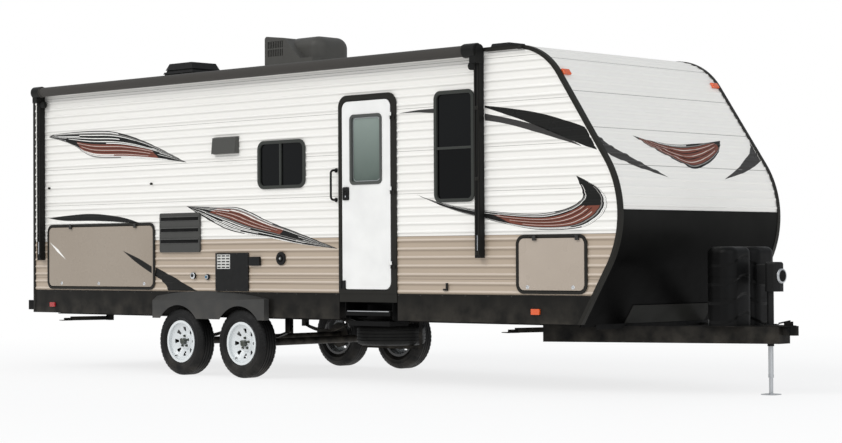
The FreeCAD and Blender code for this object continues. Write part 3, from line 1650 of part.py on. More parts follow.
def equaliser(x0, x1):
    """Rocker bar with drop links between the two springs."""
    middle = (x0 + x1) / 2
    z = spring_eye_height + equaliser_rise
    y0, y1 = -rail_offset - spring_width / 2, -rail_offset + spring_width / 2
    rear, front = x0 - equaliser_end, x1 + equaliser_end
    taper = equaliser_height * equaliser_taper
    points = [
        Vec(rear, y0, z - equaliser_height / 2),
        Vec(middle, y0, z - taper),
        Vec(front, y0, z - equaliser_height / 2),
        Vec(front, y0, z + taper),
        Vec(middle, y0, z + equaliser_height),
        Vec(rear, y0, z + taper),
    ]
    bar = prism(points, Vec(0, spring_width, 0))
    pin_z = z + equaliser_pin_rise
    half = link_width / 2
    foot = spring_eye_height - link_drop
    links = []
    for x in (x0, x1):
        links.append(box(x - half, x + half, y0 - hanger_plate, y0, foot, pin_z))
        links.append(box(x - half, x + half, y1, y1 + hanger_plate, foot, pin_z))
    length, wall = equaliser_hanger
    a, b = middle - length / 2, middle + length / 2
    low = z - equaliser_end
    near = box(a, b, y0 - wall, y0 - spring_side_gap, low, rail_bottom)
    far = box(a, b, y1 + spring_side_gap, y1 + wall, low, rail_bottom)
    top = box(a, b, y0 - wall, y1 + wall, rail_bottom - hanger_plate, rail_bottom)
    pivot = cross_rod(equaliser_pin, middle, pin_z, y0 - wall, y1 + wall)
    return [bar, near, far, top, pivot] + links


def springs():
    rear_eye, front_eye = axle_xs[0] - spring_half_span, axle_xs[1] + spring_half_span
    shapes = [leaf_spring(x) for x in axle_xs]
    shapes += [hanger(rear_eye), hanger(front_eye)]
    shapes += equaliser(axle_xs[0] + spring_half_span, axle_xs[1] - spring_half_span)
    return both_sides([fused(shapes)])


stabiliser_xs = [from_rear(rear_stabiliser_from_rear), from_front(front_stabiliser_from_front)]


def stabiliser_place(x, side):
    """Pivot point and the level directions along and across the folded leg."""
    turn = math.radians(stabiliser_turn)
    pivot = Vec(x, side * stabiliser_inboard, stabiliser_pivot_height)
    along = Vec(-math.sin(turn), side * math.cos(turn), 0)
    return pivot, along, Vec(-along.y, along.x, 0)


def stabiliser_slab(place, a0, a1, half_across, z0, z1):
    """A block centred on the leg's line, from a0 to a1 along it."""
    pivot, along, across = place
    corners = ((a0, -half_across), (a1, -half_across), (a1, half_across), (a0, half_across))
    base = [pivot + along * a + across * c + Vec(0, 0, z0) for a, c in corners]
    return prism(base, Vec(0, 0, z1 - z0))


def stabiliser_leg(x, side):
    """Folded channel leg with pivot pin and foot plate."""
    place = stabiliser_place(x, side)
    pivot, along, across = place
    half, depth, wall = stabiliser_width / 2, stabiliser_depth / 2, stabiliser_wall
    end = stabiliser_length - stabiliser_foot
    back, short, inset = stabiliser_stem
    leg = stabiliser_slab(place, -stabiliser_heel, end, half, -depth, depth)
    trough_start, trough_end = stabiliser_trough_end, end - stabiliser_trough_end
    trough = stabiliser_slab(place, trough_start, trough_end, half - wall, wall - depth, depth + 1)
    foot_half = half + stabiliser_foot_flare
    foot_top = stabiliser_foot_plate - depth
    foot = stabiliser_slab(place, end, stabiliser_length, foot_half, -depth, foot_top)
    stem_end = stabiliser_length - short
    stem = stabiliser_slab(place, end - back, stem_end, half - inset, -depth, depth - inset)
    pin_half = across * (half + 1)
    bore = rod(stabiliser_pin + running_clearance, pivot - pin_half, pivot + pin_half)
    return fused([leg.cut(trough), foot, stem]).cut(bore)


def stabiliser_mount(x, side):
    """Ears, pin and header plate for one leg, under a cross bar between the rails."""
    place = stabiliser_place(x, side)
    pivot, along, across = place
    inner = stabiliser_width / 2 + stabiliser_gap
    outer = inner + stabiliser_ear
    start, end = -stabiliser_ear_run, stabiliser_ear_reach
    seat = rail_bottom - pivot.z
    ears = stabiliser_slab(place, start, end, outer, -stabiliser_ear_drop, seat)
    between = stabiliser_slab(place, start - 1, end + 1, inner, -stabiliser_ear_drop - 1, seat)
    pin = rod(stabiliser_pin, pivot - across * outer, pivot + across * outer)
    header = stabiliser_slab(place, start, end, header_half, seat, seat + header_plate)
    return [ears.cut(between), pin, header]


def stabiliser_mounts():
    """For each end a hollow cross bar between the rails, with two leg mounts under it."""
    inner = rail_offset - rail_flange / 2
    foot = rail_bottom + header_plate
    top = foot + mount_bar_height
    wall = mount_bar_wall
    shapes = []
    for x in stabiliser_xs:
        x0, x1 = x - mount_bar_half, x + mount_bar_half
        bar = box(x0, x1, -inner, inner, foot, top)
        bar = bar.cut(box(x0 + wall, x1 - wall, -inner - 1, inner + 1, foot + wall, top - wall))
        shapes.append(fused([bar] + stabiliser_mount(x, -1) + stabiliser_mount(x, 1)))
    return shapes


step_x0 = door_x + step_from_door
step_x1 = step_x0 + step_width
step_y = -skirt_inner + step_pivot_inset


def step_reach(angle):
    """An arm's run from its pivot, inwards and down by an angle in degrees."""
    turn = math.radians(angle)
    return Vec(0, step_arm * math.cos(turn), -step_arm * math.sin(turn))


upper_pivot = Vec(0, step_y, step_pivot_height)
upper_end = upper_pivot + step_reach(step_upper_angle)
upper_edge = upper_end.y + step_tread_lead - step_tread_depth
lower_pivot_height = upper_end.z - step_tread_height / 2 - step_ear_drop
lower_pivot = Vec(0, upper_edge + step_ear_inset, lower_pivot_height)
lower_end = lower_pivot + step_reach(step_lower_angle)
upper_arm_inset = step_gap
upper_tread_inset = upper_arm_inset + step_plate + step_gap
lower_arm_inset = upper_tread_inset + step_plate + step_gap
lower_tread_inset = lower_arm_inset + step_plate + step_gap


def step_pins(pivot, inset, outer_inset):
    """A pair of pins between two layers of the step, one at each side."""
    y, z = pivot.y, pivot.z
    near = rod(step_pin, Vec(step_x0 + outer_inset, y, z), Vec(step_x0 + inset, y, z))
    far = rod(step_pin, Vec(step_x1 - inset, y, z), Vec(step_x1 - outer_inset, y, z))
    return [near, far]


def step_frame():
    """Two side plates under the floor, joined by a bar, with the upper arms' pivot pins."""
    y0, y1 = -skirt_inner + step_frame_gap, -rail_offset - rail_flange / 2
    bar_y0, bar_z0 = y1 - step_frame_bar, floor_bottom - step_frame_bar
    near = box(step_x0 - step_plate, step_x0, y0, y1, step_frame_bottom, floor_bottom)
    far = box(step_x1, step_x1 + step_plate, y0, y1, step_frame_bottom, floor_bottom)
    bar = box(step_x0 - 1, step_x1 + 1, bar_y0, y1, bar_z0, floor_bottom)
    return fused([near, far, bar] + step_pins(upper_pivot, upper_arm_inset + step_plate, -1))


def step_arms(pivot, end, inset):
    """A pair of flat links with an eye at each end."""
    along = (end - pivot).normalize()
    across = Vec(0, -along.z, along.y) * (step_arm_width / 2)
    thickness = Vec(step_plate, 0, 0)
    beyond = Vec(1, 0, 0)
    shapes = []
    for x in (step_x0 + inset, step_x1 - inset - step_plate):
        a, b = Vec(x, 0, 0) + pivot, Vec(x, 0, 0) + end
        flat = prism([a + across, b + across, b - across, a - across], thickness)
        link = fused([flat] + [rod(step_arm_width / 2, eye, eye + thickness) for eye in (a, b)])
        for eye in (a, b):
            hole = rod(step_pin + running_clearance, eye - beyond, eye + thickness + beyond)
            link = link.cut(hole)
        shapes.append(link)
    return shapes


def step_tread(end, inset, arm_inset):
    """A folded tread, open below and folded up at its front edge, on pins in the arms' eyes."""
    z0, z1 = end.z - step_tread_height / 2, end.z + step_tread_height / 2
    y1 = end.y + step_tread_lead + step_tread_back
    y0 = end.y + step_tread_lead - step_tread_depth
    x0, x1 = step_x0 + inset, step_x1 - inset
    wall, sheet = step_plate, step_tread_sheet
    tread = box(x0, x1, y0, y1, z0, z1)
    under = box(x0 + wall, x1 - wall, y0 + sheet, y1 - sheet, z0 - 1, z1 - sheet)
    nose = box(x0, x1, y0, y0 + sheet, z0, z0 + step_tread_fold)
    return fused([tread.cut(under), nose] + step_pins(end, inset + step_pin_lap, arm_inset))


def upper_tread():
    """The upper tread with the two ears that carry the lower arms."""
    y0, y1 = lower_pivot.y - step_ear_half, lower_pivot.y + step_ear_half
    z0, z1 = lower_pivot.z - step_arm_width / 2, upper_end.z - step_ear_lap
    ears = []
    for x in (step_x0 + upper_tread_inset, step_x1 - upper_tread_inset - step_plate):
        ears.append(box(x, x + step_plate, y0, y1, z0, z1))
    tread = step_tread(upper_end, upper_tread_inset, upper_arm_inset)
    lap = upper_tread_inset + step_pin_lap
    return fused([tread] + ears + step_pins(lower_pivot, lower_arm_inset + step_plate, lap))


def side_lamp(x, spec):
    u, z, width, height = spec
    face_y = -half_width - side_lamp_proud
    return rounded_plate(x, z - height / 2, width, height, lamp_corner, face_y, -skirt_outer)


def amber_lamps():
    """A marker on each skirt near the front, and two lamps on a bead of the brow."""
    length, width, proud = brow_lamp_size
    wanted = front_distance_at(roof_height - brow_lamp_drop)
    distance = min(front_bead_centres(), key=lambda centre: abs(centre - wanted))
    (x, z), normal = front_path(distance)
    y = -half_width + brow_lamp_inset
    lamp = box(-width / 2, width / 2, y - length / 2, y + length / 2, 0, proud)
    top = [e for e in lamp.Edges if e.BoundBox.ZMin > proud - 1]
    lamp = lamp.makeFillet(brow_lamp_rounding, top)
    lean = 90 - math.degrees(math.atan2(normal[1], normal[0]))
    lamp.rotate(Vec(0, 0, 0), Vec(0, 1, 0), lean)
    lamp.translate(Vec(x, 0, z))
    return both_sides([side_lamp(from_front(amber_side[0]), amber_side), lamp])


def red_lamps():
    """Markers on the skirts, tail lamps, and three small lamps high on the rear wall."""
    y, z, w, h, proud = tail_lamp
    tail = box(rear_x - proud, rear_x, -y - w / 2, -y + w / 2, z, z + h)
    edges = [e for e in tail.Edges if e.BoundBox.XMax < rear_x - proud + 1]
    tail = tail.makeFillet(lamp_corner, edges)
    length, height, depth = identity_lamp
    beads_up = round((roof_height - identity_drop - colour_line) / bead_pitch - 0.5) + 0.5
    low = colour_line + beads_up * bead_pitch - height / 2
    identity = []
    for y in (-identity_spacing, 0, identity_spacing):
        identity.append(box(rear_x - depth, rear_x, y - length / 2, y + length / 2, low, low + height))
    return both_sides([side_lamp(from_rear(red_side[0]), red_side), tail]) + identity


rear_arm_x = from_rear(rear_arm_from_rear)
front_arm_x = from_front(front_arm_from_front)
roller_x0 = rear_arm_x + arm_width + roller_gap_rear
roller_x1 = front_arm_x - roller_gap_front
roller_y = -half_width - awning_out


def awning_roller():
    """Rolled awning on its tube, with end caps and the strip that ties it to the roof's edge."""
    z = awning_height
    cap_radius, cap_length = roller_cap
    rise, thickness = roller_strip
    tube = rod(awning_radius, Vec(roller_x0, roller_y, z), Vec(roller_x1, roller_y, z))
    caps = []
    for x in (roller_x0, roller_x1 - cap_length):
        caps.append(rod(cap_radius, Vec(x, roller_y, z), Vec(x + cap_length, roller_y, z)))
    strip_x0, strip_x1 = roller_x0 + cap_length, roller_x1 - cap_length
    wall_y = -half_width - trim_sheet
    strip = box(strip_x0, strip_x1, roller_y, wall_y, z + rise, z + rise + thickness)
    return fused([tube, strip] + caps)


def awning_arm(x):
    """Vertical arm: a channel with two grooves, from its lower bracket to the roller head."""
    back, front = -half_width, -half_width - arm_depth
    width, depth = arm_groove
    arm = box(x, x + arm_width, front, back, arm_bottom, arm_top)
    for place in arm_groove_places:
        x0 = x + arm_width * place - width / 2
        foot = arm_bottom + arm_groove_end
        arm = arm.cut(box(x0, x0 + width, front - 1, front + depth, foot, arm_top))
    return arm


def awning_head(x, near_x, roller_end):
    """Head over an arm: a drum out to the roller's end, a rounded hood and the tilt knob."""
    back = -half_width - trim_sheet
    drum_start = Vec(near_x, roller_y, awning_height)
    drum = rod(head_roller_radius, drum_start, Vec(roller_end, roller_y, awning_height))
    x0, x1 = x - head_lap, x + arm_width + head_lap
    hood_y = back - head_arm_radius
    hood = rod(head_arm_radius, Vec(x0, hood_y, awning_height), Vec(x1, hood_y, awning_height))
    cheek = box(x0, x1, back - 2 * head_arm_radius, back, arm_top, awning_height)
    radius, off, thickness, drop = tilt_knob
    sign = 1 if roller_end > x else -1
    knob_x = (x + arm_width if sign > 0 else x) + sign * off
    front = -half_width - arm_depth
    knob = cross_rod(radius, knob_x, arm_top - drop, front, front + thickness)
    return [drum, hood, cheek, knob]


def awning_arms():
    rear = [awning_arm(rear_arm_x)] + awning_head(rear_arm_x, rear_arm_x, roller_x0)
    front_far = front_arm_x + arm_width
    front = [awning_arm(front_arm_x)] + awning_head(front_arm_x, front_far, roller_x1)
    return [fused(rear), fused(front)]


def roof_under(x0, x1):
    """The roof's own space, so that fittings sit on its crown."""
    return Part.Face(roof_section(x0, roof_crown)).extrude(Vec(x1 - x0, 0, 0))


def air_conditioner():
    """Shroud with a tall rear part, a scooped waist and a rounded nose, on the centre line."""
    length, width, height = air_conditioner_size
    fin_top, fin_foot = air_conditioner_fin
    x0 = from_rear(air_conditioner_from_rear)
    crown = roof_height + roof_crown
    foot, low, top = roof_top(width / 2), crown + air_conditioner_base, crown + height
    y = -width / 2
    side = [
        Vec(x0, y, foot),
        Vec(x0, y, top),
        Vec(x0 + fin_top, y, top - air_conditioner_top_fall),
        Vec(x0 + fin_foot, y, low),
        Vec(x0 + length, y, low),
        Vec(x0 + length, y, foot),
    ]
    shroud = prism(side, Vec(0, width, 0))
    upper = [
        e
        for e in shroud.Edges
        if e.BoundBox.ZMin > low + 1 and e.BoundBox.XLength < 1 and e.BoundBox.ZLength < 1
    ]
    shroud = shroud.makeFillet(air_conditioner_edge, upper)
    start, nose_width, drop = air_conditioner_nose
    half, nose_top = nose_width / 2, top - drop
    nose = box(x0 + start, x0 + length, -half, half, foot, nose_top)
    front = [e for e in upright_edges(nose) if e.BoundBox.XMin > x0 + length - 1]
    nose = nose.makeFillet(air_conditioner_nose_corner, front)
    brow = [e for e in nose.Edges if e.BoundBox.ZMin > nose_top - 1 and e.BoundBox.XMin > x0 + start + 1]
    nose = nose.makeFillet(air_conditioner_nose_round, brow)
    count, rows, slot_start, run, rise, row_height, slot_width, depth = air_grille
    slots = []
    for k in range(count):
        for row in range(rows):
            sx = x0 + slot_start + k * run / count
            sz = crown + rise + row * (row_height + air_grille_gap)
            slots.append(box(sx, sx + slot_width, y - 1, y + depth, sz, sz + row_height))
    shroud = shroud.cut(Part.makeCompound(both_sides(slots)))
    return fused([shroud, nose]).cut(roof_under(x0 - 1, x0 + length + 1))


def vent_dome(x0, centre_y, size, taper, inset):
    """Upright foot and a tapered top, everywhere inset from the full size by the same amount."""
    length, width, height = size
    foot = roof_top(abs(centre_y) + width / 2)
    top = roof_top(centre_y) + height

    def ring(lean, z):
        near, far = x0 + inset + lean, x0 + length - inset - lean
        half = width / 2 - inset - lean * vent_side_taper
        right, left = centre_y - half, centre_y + half
        points = [Vec(near, right, z), Vec(far, right, z), Vec(far, left, z), Vec(near, left, z)]
        return Part.makePolygon(points + points[:1])

    upright = foot + (top - foot) * vent_upright
    return Part.makeLoft([ring(0, foot), ring(0, upright), ring(taper, top)], True, True)


def roof_vent(x0, centre_y, size, taper, slots):
    """A roof vent's cover, with as many slots round it as asked for."""
    length, width, height = size
    slot_height, depth, start = vent_slot
    dome = vent_dome(x0, centre_y, size, taper, 0)
    core = vent_dome(x0, centre_y, size, taper, depth)
    y0, y1 = centre_y - width / 2 - 1, centre_y + width / 2 + 1
    for k in range(slots):
        z = roof_top(centre_y) + start + 2 * k * slot_height
        band = box(x0 - 1, x0 + length + 1, y0, y1, z, z + slot_height)
        dome = dome.cut(band.cut(core))
    return dome.cut(roof_under(x0 - 1, x0 + length + 1))


os.makedirs("parts", exist_ok=True)
roof_line = roof_height - trim_face
rear_roof_line = roof_height - rear_corner_radius
hatch_right_rear, hatch_right_front = hatch_rects("right")
hatch_left_front = hatch_rects("left")[0]
write("side_walls", [side_wall("right"), side_wall("left")])
write("end_walls", [front_wall(), rear_wall()])
write("roof", [roof()])
write("floor_panel", [floor_panel()])
write(
    "siding_upper",
    [
        side_siding("right", colour_line, roof_line),
        side_siding("left", colour_line, roof_line),
        rear_siding(colour_line, rear_roof_line),
        front_siding(),
    ],
)
write(
    "siding_lower",
    [
        side_siding("right", skirt_top, colour_line),
        side_siding("left", skirt_top, colour_line),
        rear_siding(skirt_top, colour_line),
    ],
)
write("front_panel", [front_panel()])
write("edge_trim", [fused([edge_trim(), gutter()]), mirrored(edge_trim())])
write("skirts", skirts())
write("fender_skirts", both_sides([fender_skirt()]))
write(
    "window_frames",
    [window_frame(*w) for w in window_rects("right")]
    + [mirrored(window_frame(*w)) for w in window_rects("left")],
)
write(
    "window_glass",
    [window_glass(rect, r) for rect, r, kind in window_rects("right")]
    + [mirrored(window_glass(rect, r)) for rect, r, kind in window_rects("left")],
)
write("door_frame", [door_frame()])
write("entry_door", [entry_door()])
write("door_fittings", [door_window_frame(), door_latch()])
write("door_glass", [door_glass()])
write(
    "hatch_frames",
    [hatch_frame(rect) for rect in hatch_rects("right")]
    + [mirrored(hatch_frame(hatch_left_front))]
    + hatch_catches(),
)
write("hatch_rear_right", [hatch_leaf(hatch_right_rear)])
write("hatch_front_right", [hatch_leaf(hatch_right_front)])
write("hatch_front_left", [mirrored(hatch_leaf(hatch_left_front))])
write(
    "wall_fittings",
    [
        vent_panel_part(),
        proud_plate(heater_panel, heater_proud),
        hood_vent_part(),
        proud_plate(socket_cover, socket_proud),
        round_port_part(),
        small_cap(lock_cap, lock_proud),
        small_cap(valve_port, lock_proud),
        door_holder_part(),
        mirrored(proud_plate(left_socket, heater_proud)),
        mirrored(proud_plate(left_heater, heater_proud)),
    ],
)
write("grab_rail", [grab_rail()])
write("main_rails", main_rails())
write("cross_members", cross_members() + outriggers())
write("stabiliser_mounts", stabiliser_mounts())
write("drawbar", [drawbar()])
write("coupler", [coupler()])
write("tongue_jack", [tongue_jack()])
write("jack_leg", [jack_leg()])
write("gas_cover", [gas_cover()])
write("rear_bumper", [rear_bumper()])
write("axles", [axle(x) for x in axle_xs])
write("springs", springs())
write("spare_tyre", [laid_flat(tyre_ring())])
write("spare_rim", [laid_flat(wheel_disc(hub_radius).removeSplitter())])
write("spare_carrier", [spare_carrier()])
corner_names = {(0, -1): "rear_right", (1, -1): "front_right", (0, 1): "rear_left", (1, 1): "front_left"}
for (end, side), corner in corner_names.items():
    write("tyre_" + corner, [tyre(axle_xs[end], side)])
    write("rim_" + corner, [rim(axle_xs[end], side)])
    write("stabiliser_" + corner, [stabiliser_leg(stabiliser_xs[end], side)])
write("step_frame", [step_frame()])
write("step_upper_arms", step_arms(upper_pivot, upper_end, upper_arm_inset))
write("step_upper_tread", [upper_tread()])
write("step_lower_arms", step_arms(lower_pivot, lower_end, lower_arm_inset))
write("step_lower_tread", [step_tread(lower_end, lower_tread_inset, lower_arm_inset)])
write("marker_lamps", amber_lamps() + red_lamps())
write("awning_roller", [awning_roller()])
write("awning_arms", awning_arms())
write("air_conditioner", [air_conditioner()])
roof_vent_x, low_vent_x = from_rear(roof_vent_from_rear), from_front(low_vent_from_front)
write(
    "roof_vents",
    [
        roof_vent(roof_vent_x, 0, roof_vent_size, roof_vent_taper, roof_vent_slots),
        roof_vent(low_vent_x, -low_vent_offset, low_vent_size, low_vent_taper, 0),
    ],
)
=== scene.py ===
import bpy
import bmesh
import json
import math
from mathutils import Matrix, Vector
from mathutils.bvhtree import BVHTree

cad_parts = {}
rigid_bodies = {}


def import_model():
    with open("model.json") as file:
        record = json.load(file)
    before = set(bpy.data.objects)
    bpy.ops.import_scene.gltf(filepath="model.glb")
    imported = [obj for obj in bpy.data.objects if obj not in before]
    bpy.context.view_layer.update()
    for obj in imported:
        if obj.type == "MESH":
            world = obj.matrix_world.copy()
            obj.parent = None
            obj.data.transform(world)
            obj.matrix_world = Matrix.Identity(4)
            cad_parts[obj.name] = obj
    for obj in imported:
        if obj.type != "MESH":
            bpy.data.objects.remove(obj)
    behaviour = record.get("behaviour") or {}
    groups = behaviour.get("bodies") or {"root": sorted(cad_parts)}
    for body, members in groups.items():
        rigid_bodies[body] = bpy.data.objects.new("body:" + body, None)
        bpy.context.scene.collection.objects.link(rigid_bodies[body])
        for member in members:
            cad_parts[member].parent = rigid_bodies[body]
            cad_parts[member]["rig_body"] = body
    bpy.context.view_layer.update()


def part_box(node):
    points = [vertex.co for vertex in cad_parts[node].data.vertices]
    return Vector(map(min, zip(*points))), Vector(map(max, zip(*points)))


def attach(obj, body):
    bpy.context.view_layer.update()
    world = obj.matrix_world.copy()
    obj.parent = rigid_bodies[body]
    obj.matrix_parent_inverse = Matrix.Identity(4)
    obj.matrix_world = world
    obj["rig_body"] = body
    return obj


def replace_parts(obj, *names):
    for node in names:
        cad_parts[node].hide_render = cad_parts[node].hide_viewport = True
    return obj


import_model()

# Places shared with the CAD model, in metres
halfWidth = 1.219
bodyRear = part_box("siding_lower")[0].x
bodyLength = 8.527
roofHeight = 3.15
colourLine = 1.431
panelHeight = 0.405
ribPitch = 0.081
ribFoot = 0.034
ribCrest = 0.012
ribDepth = 0.007
browRadius = 0.634
noseRadius = 0.885
noseCentre = (bodyRear + bodyLength - noseRadius, 1.604)
frontSlope = math.radians(55.7)
frontFoot = 1.64  # height down to which the front's ribs are counted
wheelRadius = 0.356
wheelCentre = 1.154  # distance of a wheel's middle from the centreline
axleX = [bodyRear + 2.637, bodyRear + 3.6]
corners = {
    "rear_right": (axleX[0], -1), "front_right": (axleX[1], -1),
    "rear_left": (axleX[0], 1), "front_left": (axleX[1], 1),
}


def stage(text):
    print("stage:", text, flush=True)


def rgb(code):
    # Linear colour from a web colour code
    values = [int(code[i:i + 2], 16) / 255 for i in (0, 2, 4)]
    return tuple(v / 12.92 if v <= 0.04045 else ((v + 0.055) / 1.055) ** 2.4 for v in values)


class Shader:
    # A principled material with a few helpers for procedural detail

    def __init__(self, name, code, roughness, **sockets):
        self.material = bpy.data.materials.new(name)
        self.material.use_nodes = True
        self.tree = self.material.node_tree
        self.surface = self.tree.nodes["Principled BSDF"]
        self.colour = rgb(code)
        self.base = self.colour
        self.bump = None
        for key, value in {"Base_Color": self.colour, "Roughness": roughness, **sockets}.items():
            self.feed(self.surface.inputs[key.replace("_", " ")], value)
        self.place = self.node("ShaderNodeTexCoord").outputs["Object"]

    def node(self, kind, **settings):
        made = self.tree.nodes.new(kind)
        for key, value in settings.items():
            setattr(made, key, value)
        return made

    def feed(self, socket, value):
        # Links an output, or sets a number or a colour
        if hasattr(value, "is_linked"):
            self.tree.links.new(value, socket)
        elif socket.type == "RGBA":
            socket.default_value = (*(rgb(value) if isinstance(value, str) else value), 1)
        else:
            socket.default_value = value

    def math(self, operation, a, b=0.0):
        made = self.node("ShaderNodeMath", operation=operation)
        self.feed(made.inputs[0], a)
        self.feed(made.inputs[1], b)
        return made.outputs[0]

    def times(self, a, b):
        return self.math("MULTIPLY", a, b)

    def axis(self, name, vector=None):
        split = self.node("ShaderNodeSeparateXYZ")
        self.feed(split.inputs[0], self.place if vector is None else vector)
        return split.outputs[name]

    def wave(self, name, scale):
        return self.math("SINE", self.times(self.axis(name), scale))

    def noise(self, scale, detail, stretch=(1, 1, 1)):
        mapping = self.node("ShaderNodeMapping")
        self.feed(mapping.inputs["Vector"], self.place)
        mapping.inputs["Scale"].default_value = stretch
        made = self.node("ShaderNodeTexNoise")
        self.feed(made.inputs["Vector"], mapping.outputs[0])
        made.inputs["Scale"].default_value = scale
        made.inputs["Detail"].default_value = detail
        return made.outputs["Fac"]

    def spread(self, value, low, high, to=(0.0, 1.0)):
        made = self.node("ShaderNodeMapRange", clamp=True)
        for socket, v in zip(made.inputs, (value, low, high, *to)):
            self.feed(socket, v)
        return made.outputs[0]

    def between(self, value, low, high, soft=0.002):
        # 1 where a value lies between two limits, with soft ends
        rise = self.spread(value, low - soft, low + soft)
        fall = self.spread(value, high - soft, high + soft, (1.0, 0.0))
        return self.times(rise, fall)

    def tint(self, factor, colour):
        # Paints another colour over the base where factor is 1
        mixed = self.node("ShaderNodeMix", data_type="RGBA")
        self.feed(mixed.inputs["Factor"], factor)
        self.feed(mixed.inputs[6], self.base)
        self.feed(mixed.inputs[7], colour)
        self.base = mixed.outputs[2]
        self.feed(self.surface.inputs["Base Color"], self.base)

    def vary(self, scale, amount, other=None, stretch=(1, 1, 1)):
        # Soft blotches of another tone, by default a darker one
        other = other or tuple(v * 0.7 for v in self.colour)
        self.tint(self.spread(self.noise(scale, 4.0, stretch), 0.35, 0.75, (0.0, amount)), other)

    def wear(self, low, high, scale=9.0, stretch=(1, 1, 1)):
        # Roughness that changes over the surface
        rough = self.spread(self.noise(scale, 3.0, stretch), 0.3, 0.7, (low, high))
        self.feed(self.surface.inputs["Roughness"], rough)

    def relief(self, height, distance, strength):
        bump = self.node("ShaderNodeBump")
        bump.inputs["Strength"].default_value = strength
        bump.inputs["Distance"].default_value = distance
        self.feed(bump.inputs["Height"], height)
        if self.bump is not None:
            self.feed(bump.inputs["Normal"], self.bump)
        self.bump = bump.outputs[0]
        self.feed(self.surface.inputs["Normal"], self.bump)

    def grain(self, scale, distance, strength, stretch=(1, 1, 1)):
        self.relief(self.noise(scale, 2.0, stretch), distance, strength)

    def dust(self, top, amount=0.35):
        # Road dust that fades upwards from the ground
        fade = self.spread(self.axis("Z"), 0.1, top, (amount, 0.0))
        patch = self.spread(self.noise(6.0, 5.0), 0.35, 0.7)
        self.tint(self.times(fade, patch), "8A8276")


# Materials
def paintedSiding(name, code, seamCode, crestHighlightCode, footShadeCode, share):
    # Ribbed sheet with a painted highlight on each rib's crest, painted shade at each rib's foot, and a seam
    # under each panel
    made = Shader(name, code, 0.34, Coat_Weight=0.15, Coat_Roughness=0.2)
    made.vary(1.7, 0.10, stretch=(0.25, 1, 1.2))
    made.wear(0.30, 0.44, 5.0, (0.4, 1, 1))
    facing = made.axis("Y", made.node("ShaderNodeNewGeometry").outputs["Normal"])
    sideways = made.spread(made.math("ABSOLUTE", facing), 0.5, 0.7)
    fromRib = made.math("DIVIDE", made.math("SUBTRACT", made.axis("Z"), colourLine), ribPitch)
    rib = made.math("FRACT", made.math("ADD", fromRib, 10.0))
    # Painted shade at each rib's foot and a painted highlight on its crest, on the sides only
    crestHighlight = made.between(rib, 0.52, 0.68, 0.08)
    foot = made.between(rib, 0.22, 0.42, 0.10)
    made.tint(made.times(made.times(foot, sideways), share), footShadeCode)
    made.tint(made.times(made.times(crestHighlight, sideways), share), crestHighlightCode)
    height = made.math("SUBTRACT", made.axis("Z"), colourLine - panelHeight * 4 - 0.002)
    phase = made.math("FRACT", made.math("DIVIDE", height, panelHeight))
    made.tint(made.times(made.math("LESS_THAN", phase, 0.010), sideways), seamCode)
    made.grain(38.0, 0.0008, 0.10, (0.3, 1, 1))
    return made


def plastic(name, code, low, high, grainScale=220.0, dusty=0.0):
    made = Shader(name, code, 0.5, Specular_IOR_Level=0.2)
    made.vary(7.0, 0.35)
    made.wear(low, high, 12.0)
    made.grain(grainScale, 0.0007, 0.25)
    if dusty:
        made.dust(dusty)
    return made


def metalPaint(name, code, low, high, dusty=0.0):
    made = Shader(name, code, 0.4, Specular_IOR_Level=0.1)
    made.vary(4.0, 0.3)
    made.wear(low, high, 8.0)
    made.grain(60.0, 0.0006, 0.15)
    if dusty:
        made.dust(dusty)
    return made


trimTone = "272623"
knuckleFace = halfWidth + 0.0105  # the leaf lies inside it, the knuckles stand past it


def hatchPaint(name, code):
    # Smooth beige leaf whose hinge knuckles are dark
    made = Shader(name, code, 0.3, Specular_IOR_Level=0.4)
    made.vary(1.4, 0.35, "857869", (0.6, 1, 1))
    made.wear(0.22, 0.36, 5.0)
    made.tint(made.math("GREATER_THAN", made.math("ABSOLUTE", made.axis("Y")), knuckleFace), trimTone)
    made.grain(60.0, 0.0005, 0.12)
    return made


paleBand = {"reach": 0.606, "heights": (0.62, 0.79)}


def frontPaint(name):
    # Dark gloss panel with painted shade that deepens towards the drawbar, and a paler band across its foot
    made = Shader(name, "212120", 0.35, Specular_IOR_Level=0.02)
    # Painted shade: darker from 1.6 m down to 1.2 m, nearly black below
    made.tint(made.spread(made.axis("Z"), 1.2, 1.6, (0.95, 0.0)), "040404")
    # A paler band across the panel's foot, over the painted shade
    bandAcross = made.between(made.axis("Y"), -paleBand["reach"], paleBand["reach"], 0.0005)
    bandUp = made.between(made.axis("Z"), *paleBand["heights"], 0.0005)
    made.tint(made.times(bandAcross, bandUp), "292927")
    made.vary(3.0, 0.3, "050505")
    made.wear(0.28, 0.42, 7.0)
    made.grain(60.0, 0.0005, 0.12)
    return made


def doorMetal(name):
    # Grey window ring over a black latch
    made = Shader(name, "4E504E", 0.4, Specular_IOR_Level=0.15)
    made.tint(made.math("LESS_THAN", made.axis("Z"), 1.93), "0E0E0E")
    made.vary(7.0, 0.25)
    made.wear(0.35, 0.5, 9.0)
    made.grain(150.0, 0.0005, 0.2)
    return made


def glass(name, code, roughness):
    # Tinted panes, the lower pane of the front windows nearly black
    made = Shader(name, code, roughness, Specular_IOR_Level=0.2)
    made.vary(1.2, 0.5, tuple(v * 1.6 for v in made.colour))
    front = made.math("GREATER_THAN", made.axis("X"), 1.6)
    low = made.math("LESS_THAN", made.axis("Z"), 2.25)
    made.tint(made.times(made.times(front, low), 0.9), "020202")
    made.grain(2.2, 0.004, 0.03)
    return made


def doorGlass(name):
    # Obscured pane, greener and darker towards its foot
    made = Shader(name, "87938D", 0.28, Specular_IOR_Level=0.2)
    made.tint(made.spread(made.axis("Z"), 1.97, 2.6, (1.0, 0.0)), "505C56")
    made.vary(5.0, 0.3)
    made.grain(90.0, 0.0008, 0.3)
    return made


